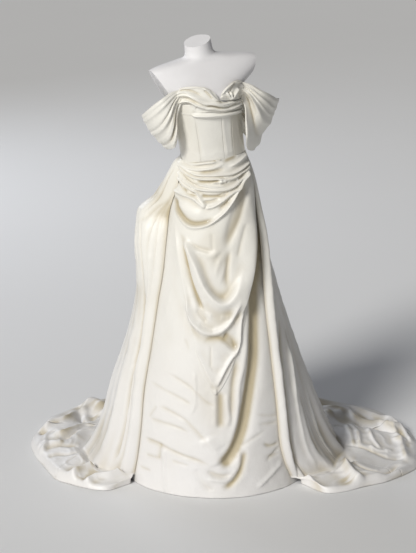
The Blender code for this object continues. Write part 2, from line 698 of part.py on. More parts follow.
def stand(parts):
    middle = (0.0, 0.0, BASE_THICKNESS / 2)
    bpy.ops.mesh.primitive_cylinder_add(
        vertices=BASE_SIDES, radius=BASE_RADIUS, depth=BASE_THICKNESS, location=middle
    )
    base = bpy.context.object
    base.name = "stand_base"
    finish_object(base, parts, STEEL)
    edge = base.modifiers.new("edge", "BEVEL")
    edge.width = BASE_EDGE
    edge.segments = 2
    edge.limit_method = "ANGLE"

    foot = BASE_THICKNESS + SEAT_GAP
    head = FORM_SECTIONS[0][0] - SEAT_GAP
    middle = (0.0, 0.0, (head + foot) / 2)
    bpy.ops.mesh.primitive_cylinder_add(
        vertices=POLE_SIDES, radius=POLE_RADIUS, depth=head - foot, location=middle
    )
    pole = bpy.context.object
    pole.name = "stand_pole"
    finish_object(pole, parts, STEEL)


def main():
    for obj in list(bpy.data.objects):
        bpy.data.objects.remove(obj)
    parts = bpy.data.collections.new(OBJECT_NAME)
    cutters = bpy.data.collections.new("cutters")
    bpy.context.scene.collection.children.link(parts)
    bpy.context.scene.collection.children.link(cutters)

    stand(parts)
    form_torso(parts, cutters)
    for row in BODICE_PANELS:
        bodice_panel(*row, parts)
    for row in BANDS:
        band(*row, parts)
    sleeve("sleeve_left", LEFT_SLEEVE, -1, parts)
    sleeve("sleeve_right", RIGHT_SLEEVE, 1, parts)
    buttons(parts)
    for row in SKIRT_PANELS:
        skirt_panel(*row, parts)
    cowl_drape(parts)
    for row in GORES:
        gore(*row, parts)


main()
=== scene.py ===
import math

import bmesh
import bpy
import numpy as np
from mathutils import Matrix, Vector


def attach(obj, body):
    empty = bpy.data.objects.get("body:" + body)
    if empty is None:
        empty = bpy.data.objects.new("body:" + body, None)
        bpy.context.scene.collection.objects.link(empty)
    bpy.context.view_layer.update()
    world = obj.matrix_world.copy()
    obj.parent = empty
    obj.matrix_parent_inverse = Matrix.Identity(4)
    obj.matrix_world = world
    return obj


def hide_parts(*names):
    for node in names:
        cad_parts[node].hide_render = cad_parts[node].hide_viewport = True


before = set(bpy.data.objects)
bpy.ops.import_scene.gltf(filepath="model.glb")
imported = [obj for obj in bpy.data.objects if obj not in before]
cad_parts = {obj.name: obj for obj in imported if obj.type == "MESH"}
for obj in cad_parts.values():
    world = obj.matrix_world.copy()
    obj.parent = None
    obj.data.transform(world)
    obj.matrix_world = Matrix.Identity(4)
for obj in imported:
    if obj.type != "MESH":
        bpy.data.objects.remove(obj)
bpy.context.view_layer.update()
print("frame loaded")

# Evening gown of ivory satin on a white dress form. Lengths are metres, heights are above the floor,
# bearings are degrees round the body from the front, rising towards +X.

clothDial = {
    "thick": 0.0010,
    "layer": 0.0015,  # from the middle of one cloth to the next one on it
    "hem": 0.0012,  # height of the lowest cloth
    "hollowDepth": 0.0045,  # a fold this deep has the full painted fold shade
    "hollowShare": 0.9,
    "hollowRounds": (40, 5),  # of evening out, for the open cloth and for the painted shade
}
waist = np.array([-0.008, 0.0, 1.155])
bodyDial = {
    "turn": 20.0,
    "lean": 8.0,
    "settle": 0.20,  # length below the waist over which both die away
    "lap": (0.011, 0.056),  # what laps over the bodice goes out this much per metre up, at the side and the front
}

bodyRows = (  # height, half width, front, back
    (1.155, 0.1120, 0.0900, 0.0860),
    (1.200, 0.1125, 0.0925, 0.0860),
    (1.250, 0.1150, 0.1000, 0.0890),
    (1.290, 0.1185, 0.1075, 0.0915),
    (1.330, 0.1220, 0.1165, 0.0935),
    (1.370, 0.1255, 0.1190, 0.0945),
    (1.430, 0.1330, 0.1130, 0.0940),
)
skirtRows = (  # height, side shift, half width, front, back
    (0.000, 0.008, 0.322, 0.2800, 0.2900),
    (0.300, 0.008, 0.285, 0.2400, 0.2550),
    (0.500, 0.008, 0.241, 0.2080, 0.2200),
    (0.620, 0.007, 0.215, 0.1880, 0.1980),
    (0.740, 0.006, 0.190, 0.1690, 0.1760),
    (0.850, 0.004, 0.171, 0.1520, 0.1600),
    (0.970, 0.002, 0.149, 0.1320, 0.1400),
    (1.050, 0.001, 0.133, 0.1160, 0.1200),
    (1.100, 0.000, 0.1225, 0.1040, 0.1040),
    (1.155, 0.000, 0.1120, 0.0900, 0.0860),
)


# curves and noise

def smooth(t):
    t = np.clip(t, 0.0, 1.0)
    return t * t * (3 - 2 * t)


def along(xs, ys, x):  # smooth curve through rising xs, held at its ends
    xs = np.asarray(xs, float)
    x = np.clip(np.asarray(x, float), xs[0], xs[-1])
    ys = np.asarray(ys, float)
    if ys.ndim == 1:
        ys = ys.reshape((-1,) + (1,) * x.ndim)
    ys = np.broadcast_to(ys, (len(xs),) + x.shape)
    steps = np.diff(xs)
    slopes = np.diff(ys, axis=0) / steps.reshape((-1,) + (1,) * x.ndim)
    inner = np.where(slopes[:-1] * slopes[1:] > 0, (slopes[:-1] + slopes[1:]) / 2, 0.0)
    tangents = np.concatenate([slopes[:1], inner, slopes[-1:]])
    place = np.clip(np.searchsorted(xs, x, side="right") - 1, 0, len(xs) - 2)
    low = np.take_along_axis(ys, place[None], 0)[0]
    high = np.take_along_axis(ys, place[None] + 1, 0)[0]
    start = np.take_along_axis(tangents, place[None], 0)[0]
    end = np.take_along_axis(tangents, place[None] + 1, 0)[0]
    step = steps[place]
    t = (x - xs[place]) / step
    blend = low * (1 + 2 * t) * (1 - t) ** 2 + high * t * t * (3 - 2 * t)
    return blend + step * t * (1 - t) * (start * (1 - t) - end * t)


def column(table, index):
    return [row[index] for row in table]


def valueAt(table, x, index=1):  # the same curve through one column of a table, against its first
    return along(column(table, 0), column(table, index), x)


def section(table, height):
    return [valueAt(table, height, index) for index in range(1, len(table[0]))]


def smoothLine(points, between=8):  # a smooth curve through given points
    if len(points) == 2:
        return np.linspace(points[0], points[1], between + 1)
    padded = np.vstack([2 * points[0] - points[1], points, 2 * points[-1] - points[-2]])
    t = np.linspace(0, 1, between, endpoint=False)[:, None]
    line = [
        0.5 * (2 * b + (c - a) * t + (2 * a - 5 * b + 4 * c - d) * t**2 + (3 * b - a - 3 * c + d) * t**3)
        for a, b, c, d in zip(padded, padded[1:], padded[2:], padded[3:])
    ]
    return np.vstack(line + [points[-1:]])


latticeSide = 64
lattice = np.random.default_rng(11).uniform(-1, 1, (latticeSide,) * 3)


def grain(points, size):  # smooth random field from -1 to 1
    scaled = points / size
    cell = np.floor(scaled).astype(int)
    t = smooth(scaled - cell)
    total = 0.0
    for corner in np.ndindex(2, 2, 2):
        weight = np.prod(np.where(corner, t, 1 - t), axis=-1)
        i, j, k = np.moveaxis((cell + corner) % latticeSide, -1, 0)
        total = total + weight * lattice[i, j, k]
    return total


def ridges(points, size):  # the same field folded into narrow ridges, 0 to 1
    return np.clip(1 - 2.2 * np.abs(grain(points, size)), 0, 1) ** 1.5


# frames of the body and the skirt

def placed(x, y, z, share):  # turned and leant about the waist
    turn = np.radians(bodyDial["turn"]) * share
    lean = np.radians(-bodyDial["lean"]) * share
    x, y = x * np.cos(turn) - y * np.sin(turn), x * np.sin(turn) + y * np.cos(turn)
    z = z - waist[2]
    x, z = x * np.cos(lean) + z * np.sin(lean), z * np.cos(lean) - x * np.sin(lean)
    return np.stack([x + waist[0], y + waist[1], z + waist[2]], axis=-1)


def shareOfLean(height):
    return smooth(1 - (waist[2] - height) / bodyDial["settle"])


def oval(bearing, halfWidth, front, back):
    angle = np.radians(bearing)
    depth = np.where(np.cos(angle) > 0, front, back)
    return halfWidth * np.sin(angle), -depth * np.cos(angle)


def bodyPoints(bearing, height, out=0.0):
    halfWidth, front, back = section(bodyRows, height)
    x, y = oval(bearing, halfWidth + out, front + out, back + out)
    return placed(x, y, height, 1.0)


def skirtPoints(bearing, height, out=0.0):
    shift, halfWidth, front, back = section(skirtRows, height)
    rise = np.maximum(height - waist[2], 0.0)  # what laps over the bodice follows it
    share = shareOfLean(height)
    lapSide, lapFront = bodyDial["lap"]
    wide = halfWidth + out + lapSide * rise
    x, y = oval(bearing - bodyDial["turn"] * share, wide, front + out + lapFront * rise, back + out)
    return placed(x + shift, y, height, share)


# folds, given one by one

def fold(high, wide, *line, ends=(0.15, 0.15), paintedShade=0.0, power=1.5):
    # millimetres: high is below nought for a trough, and wide is to the left and right of the way the line runs.
    # ends are the shares of the line over which it dies away, and the shade amount is how much brownish shade is
    # painted along it.
    return {
        "line": np.array(line) / 1000,
        "high": high / 1000,
        "wide": (wide[0] / 1000, wide[1] / 1000),
        "ends": ends,
        "paintedShade": paintedShade,
        "power": power,
    }


foldReach = 3.2  # a fold is worked out within this many of its widths


def foldField(spots, folds, key="high"):
    flat = spots.reshape(-1, 2)
    total = np.zeros(len(flat))
    for each in folds:
        line = smoothLine(each["line"])
        left, right = each["wide"]
        reach = foldReach * max(left, right)
        near = np.all((flat > line.min(0) - reach) & (flat < line.max(0) + reach), axis=1)
        here = flat[near]
        if not each[key] or not len(here):
            continue
        gap = np.full(len(here), np.inf)
        side = np.zeros(len(here))
        place = np.zeros(len(here))
        last = len(line) - 1
        for k in range(last):
            run = line[k + 1] - line[k]
            offset = here - line[k]
            share = np.clip(offset @ run / (run @ run), 0, 1)
            away = offset - share[:, None] * run
            distance = np.hypot(away[:, 0], away[:, 1])
            closer = distance < gap
            gap = np.where(closer, distance, gap)
            side = np.where(closer, run[0] * away[:, 1] - run[1] * away[:, 0], side)
            place = np.where(closer, (k + share) / last, place)
        shape = np.exp(-((gap / np.where(side > 0, left, right)) ** each["power"]))
        for fade, length in zip((place, 1 - place), each["ends"]):
            if length:
                shape = shape * smooth(fade / length)
        total[near] += each[key] * shape
    return total.reshape(spots.shape[:-1])


# building

def pieceFromMesh(name, mesh, node, material):
    piece = bpy.data.objects.new(name, mesh)
    bpy.context.scene.collection.objects.link(piece)
    mesh.materials.append(material)
    mesh.shade_smooth()
    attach(piece, "root")
    if node:
        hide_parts(node)
    return piece


def sheetMesh(name, points):
    rows, columns = points.shape[:2]
    mesh = bpy.data.meshes.new(name)
    corner = np.arange(rows * columns).reshape(rows, columns)
    quads = np.stack([corner[:-1, :-1], corner[1:, :-1], corner[1:, 1:], corner[:-1, 1:]], axis=-1).reshape(-1, 4)
    mesh.vertices.add(rows * columns)
    mesh.vertices.foreach_set("co", points.astype(np.float32).ravel())
    mesh.loops.add(quads.size)
    mesh.loops.foreach_set("vertex_index", quads.astype(np.int32).ravel())
    mesh.polygons.add(len(quads))
    mesh.polygons.foreach_set("loop_start", np.arange(0, quads.size, 4, dtype=np.int32))
    mesh.polygons.foreach_set("loop_total", np.full(len(quads), 4, dtype=np.int32))
    mesh.update(calc_edges=True)
    mesh.validate()
    return mesh


def evened(values, rounds):  # each value mixed with its neighbours
    for _ in range(rounds):
        padded = np.pad(values, ((1, 1), (0, 0), (0, 0)), mode="edge")
        values = (padded[:-2] + 2 * padded[1:-1] + padded[2:]) / 4
        padded = np.pad(values, ((0, 0), (1, 1), (0, 0)), mode="edge")
        values = (padded[:, :-2] + 2 * padded[:, 1:-1] + padded[:, 2:]) / 4
    return values


def hollows(points):  # depth of the folds for the painted shade: 0 on the open cloth, rising to 1 down in the folds
    broad, fine = clothDial["hollowRounds"]
    soft = evened(points, broad)
    facing = np.cross(np.gradient(soft, axis=0), np.gradient(soft, axis=1))
    facing /= np.linalg.norm(facing, axis=-1, keepdims=True) + 1e-9
    outward = np.sign(np.sum(facing * (soft * (1, 1, 0) + (0, 0, 0.05)), axis=-1))  # away from the middle, or up
    depth = np.clip(outward * np.sum((soft - points) * facing, axis=-1) / clothDial["hollowDepth"], 0, 1)
    return evened(depth[..., None], fine)[..., 0]


def clothPiece(name, node, points, paintedShade=0.0):
    piece = pieceFromMesh(name, sheetMesh(name, points), node, satin)
    # painted shade: deeper folds and any extra shade given are coloured darker and browner in the satin
    shade = np.clip(clothDial["hollowShare"] * hollows(points) + paintedShade, 0, 1)
    piece.data.attributes.new("paintedFoldShade", "FLOAT", "POINT").data.foreach_set("value", shade.astype(np.float32).ravel())
    wall = piece.modifiers.new("cloth", "SOLIDIFY")
    wall.thickness = clothDial["thick"]
    wall.offset = 0.0
    return piece


def grid(rows, columns):  # every row value with every column value
    return np.meshgrid(rows, columns, indexing="ij")


def gathered(stops, count):  # values from stop to stop, their share of the count given with each
    marks, shares = zip(*stops)
    places = np.cumsum((0.0,) + shares[1:])
    return np.interp(np.linspace(0, places[-1], count), places, marks)


# finishes

class Value:  # a number, colour or vector in a shader; sums on it add nodes
    def __init__(self, finish, socket):
        self.finish = finish
        self.socket = socket

    def maths(self, operation, first, second):
        return self.finish.node("ShaderNodeMath", {"operation": operation}, {0: first, 1: second})

    def __add__(self, other):
        return self.maths("ADD", self, other)

    def __radd__(self, other):
        return self.maths("ADD", other, self)

    def __mul__(self, other):
        return self.maths("MULTIPLY", self, other)

    def __rmul__(self, other):
        return self.maths("MULTIPLY", other, self)


class Finish:  # one material, built up from nodes
    def __init__(self, name, **constants):
        self.material = bpy.data.materials.new(name)
        self.material.use_nodes = True
        self.tree = self.material.node_tree
        self.shader = self.tree.nodes["Principled BSDF"]
        for socket, value in constants.items():
            self.shader.inputs[socket.replace("_", " ")].default_value = value

    def node(self, kind, settings, sockets, output=0):
        made = self.tree.nodes.new(kind)
        for name, value in settings.items():
            setattr(made, name, value)
        for name, value in sockets.items():
            if isinstance(value, Value):
                self.tree.links.new(value.socket, made.inputs[name])
            else:
                made.inputs[name].default_value = value
        return Value(self, made.outputs[output])

    def link(self, value, socket):
        self.tree.links.new(value.socket, self.shader.inputs[socket])

    def places(self):
        return self.node("ShaderNodeTexCoord", {}, {}, "Object")

    def noise(self, places, size, detail=2.0, rough=0.5):
        sockets = {"Vector": places, "Scale": 1 / size, "Detail": detail, "Roughness": rough}
        return self.node("ShaderNodeTexNoise", {}, sockets)

    def between(self, value, low, high, first=0.0, last=1.0):  # first up to low, last from high on
        return self.node("ShaderNodeMapRange", {}, {0: value, 1: low, 2: high, 3: first, 4: last})

    def mix(self, share, first, second):
        return self.node("ShaderNodeMix", {"data_type": "RGBA"}, {0: share, 6: first, 7: second}, 2)

    def bump(self, height, distance, strength=1.0, under=None):
        sockets = {"Height": height, "Distance": distance, "Strength": strength}
        if under:
            sockets["Normal"] = under
        return self.node("ShaderNodeBump", {}, sockets)


satinDial = {
    "light": (0.87, 0.85, 0.785, 1),
    "paintedLowShade": (0.80, 0.785, 0.77, 1),  # painted shade, cooler and darker, towards the floor
    "paintedWarmShade": (0.50, 0.43, 0.29, 1),  # painted shade down in the folds
    # heights at which the painted low shade starts and where it is full
    "lowShadeFrom": 0.95,
    "lowShadeTo": 0.10,
    "slub": 0.0022,
}


def satinFinish():
    finish = Finish("ivorySatin", Sheen_Weight=0.2, Sheen_Roughness=0.35, Specular_IOR_Level=0.5)
    places = finish.places()
    slub = finish.noise(places, satinDial["slub"], 3.0, 0.7)
    paintedFoldShade = finish.node("ShaderNodeAttribute", {"attribute_name": "paintedFoldShade"}, {}, "Fac")
    height = finish.node("ShaderNodeSeparateXYZ", {}, {0: places}, "Z")
    # painted shade, cooler and darker towards the floor
    low = finish.between(height, satinDial["lowShadeFrom"], satinDial["lowShadeTo"])
    patch = finish.between(finish.noise(places, 0.16), 0.35, 0.7, 0.0, 0.06)
    cloth = finish.mix(low, satinDial["light"], satinDial["paintedLowShade"])
    # painted brownish shade down in the folds, plus small random tone patches
    finish.link(finish.mix(patch + paintedFoldShade, cloth, satinDial["paintedWarmShade"]), "Base Color")
    finish.link(0.36 + 0.10 * finish.noise(places, 0.05) + 0.05 * slub, "Roughness")
    soft = finish.bump(finish.noise(places, 0.03), 0.004, 0.3)
    finish.link(finish.bump(slub, 0.0004, 0.12, soft), "Normal")
    return finish.material


def shellFinish():
    finish = Finish("mattWhiteShell", Roughness=0.62, Specular_IOR_Level=0.35)
    places = finish.places()
    share = finish.between(finish.noise(places, 0.09), 0.4, 0.75)
    finish.link(finish.mix(share, (0.84, 0.83, 0.835, 1), (0.80, 0.785, 0.79, 1)), "Base Color")
    finish.link(0.56 + 0.12 * finish.noise(places, 0.02), "Roughness")
    finish.link(finish.bump(finish.noise(places, 0.0016), 0.0003, 0.15), "Normal")
    return finish.material


def steelFinish():
    finish = Finish("brushedSteel", Metallic=1.0)
    streaks = finish.node("ShaderNodeMapping", {}, {"Vector": finish.places(), "Scale": (1.0, 1.0, 0.04)})
    lines = finish.noise(streaks, 0.0012, 3.0, 0.6)
    finish.link(finish.mix(lines, (0.52, 0.52, 0.53, 1), (0.62, 0.62, 0.62, 1)), "Base Color")
    finish.link(0.26 + 0.14 * lines, "Roughness")
    finish.link(finish.bump(lines, 0.0002, 0.2), "Normal")
    return finish.material


satin = satinFinish()
steel = steelFinish()
formWhite = shellFinish()
for node in ("stand_base", "stand_pole"):
    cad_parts[node].data.materials.clear()
    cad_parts[node].data.materials.append(steel)
print("finishes made")

# dress form

formDial = {
    "sides": 160,
    "gap": 0.0026,  # from the middle of the bodice cloth
    "shoulderTip": (0.188, 1.482),
    "armpit": (0.141, 1.380),
    "neckTop": 1.556,
    "neckSlant": 13.0,
    "neckTilt": 9.0,  # the cut is lower to the left too
    "edge": 0.0030,
    "edgeAngle": 40.0,
    "shift": 0.012,  # the shoulders sit this far to the right of the waist's middle line
    "tilt": 0.042,  # and slope down to the right by this much
    "settle": (1.400, 1.470),  # heights between which both come in
    "shoulders": (0.03, 0.06),  # where they start beside the neck, and over how much
}
formRows = (  # height, half width, front, back
    (0.880, 0.1380, 0.1180, 0.1250),
    (0.900, 0.1460, 0.1270, 0.1340),
    (0.970, 0.1400, 0.1210, 0.1270),
    (1.050, 0.1220, 0.1030, 0.1060),
    (1.100, 0.1140, 0.0940, 0.0930),
    *((h, a - formDial["gap"], f - formDial["gap"], b - formDial["gap"]) for h, a, f, b in bodyRows[:4]),
    (1.330, 0.1188, 0.1120, 0.0902),
    (1.368, 0.1226, 0.1140, 0.0915),
    (1.388, 0.1400, 0.1050, 0.0905),
    (1.412, 0.1720, 0.0950, 0.0880),
    (1.438, 0.1960, 0.0820, 0.0810),
    (1.461, 0.2060, 0.0690, 0.0710),
    (1.477, 0.2000, 0.0600, 0.0620),
    (1.489, 0.1640, 0.0545, 0.0560),
    (1.499, 0.1020, 0.0520, 0.0530),
    (1.506, 0.0620, 0.0500, 0.0500),
    (1.515, 0.0510, 0.0475, 0.0470),
    (1.535, 0.0468, 0.0450, 0.0445),
    (1.600, 0.0440, 0.0430, 0.0425),
)


def cutFlat(mesh, point, outward):
    everything = mesh.verts[:] + mesh.edges[:] + mesh.faces[:]
    cut = bmesh.ops.bisect_plane(mesh, geom=everything, plane_co=point, plane_no=outward, clear_outer=True)
    bmesh.ops.contextual_create(mesh, geom=[item for item in cut["geom_cut"] if isinstance(item, bmesh.types.BMEdge)])


def dressForm():
    marks = column(formRows, 0)
    heights = np.unique(np.concatenate([np.linspace(low, high, 5) for low, high in zip(marks, marks[1:])]))
    bearings = np.linspace(0, 360, formDial["sides"], endpoint=False)
    mesh = bmesh.new()
    rings = []
    low, high = formDial["settle"]
    neck, slope = formDial["shoulders"]
    for height in heights:
        x, y = oval(bearings, *section(formRows, height))
        turned = smooth((height - low) / (high - low)) * smooth((np.abs(x) - neck) / slope)
        ring = placed(x + formDial["shift"] * turned, y, height - formDial["tilt"] * x * turned, shareOfLean(height))
        rings.append([mesh.verts.new(point) for point in ring])
    for under, over in zip(rings, rings[1:]):
        for side in range(len(under)):
            after = (side + 1) % len(under)
            mesh.faces.new((under[side], under[after], over[after], over[side]))
    mesh.faces.new(rings[0][::-1])
    mesh.faces.new(rings[-1])
    lean = Matrix.Rotation(math.radians(-bodyDial["lean"]), 3, "Y")
    body = lean @ Matrix.Rotation(math.radians(bodyDial["turn"]), 3, "Z")
    tip, pit = formDial["shoulderTip"], formDial["armpit"]
    armSlant = math.atan2(tip[0] - pit[0], tip[1] - pit[1])
    for side in (-1, 1):
        shifted = side * (tip[0] + pit[0]) / 2 + formDial["shift"]
        middle = placed(shifted, 0.0, (tip[1] + pit[1]) / 2, 1.0)
        cutFlat(mesh, middle, body @ Vector((side * math.cos(armSlant), 0.0, -math.sin(armSlant))))
    slant = Matrix.Rotation(math.radians(formDial["neckSlant"]), 3, "X")
    tilt = Matrix.Rotation(math.radians(-formDial["neckTilt"]), 3, "Y")
    cutFlat(mesh, placed(0.0, 0.0, formDial["neckTop"], 1.0), body @ tilt @ slant @ Vector((0.0, 0.0, 1.0)))
    shell = bpy.data.meshes.new("dressForm")
    mesh.to_mesh(shell)
    mesh.free()
    form = pieceFromMesh("dressForm", shell, "form_torso", formWhite)
    edge = form.modifiers.new("edge", "BEVEL")
    edge.width = formDial["edge"]
    edge.segments = 3
    edge.limit_method = "ANGLE"
    edge.angle_limit = math.radians(formDial["edgeAngle"])
    edge.harden_normals = True


dressForm()
print("dress form made")

# the folds of the skirt's front and of the drape on it: points are across and up, seen from the front

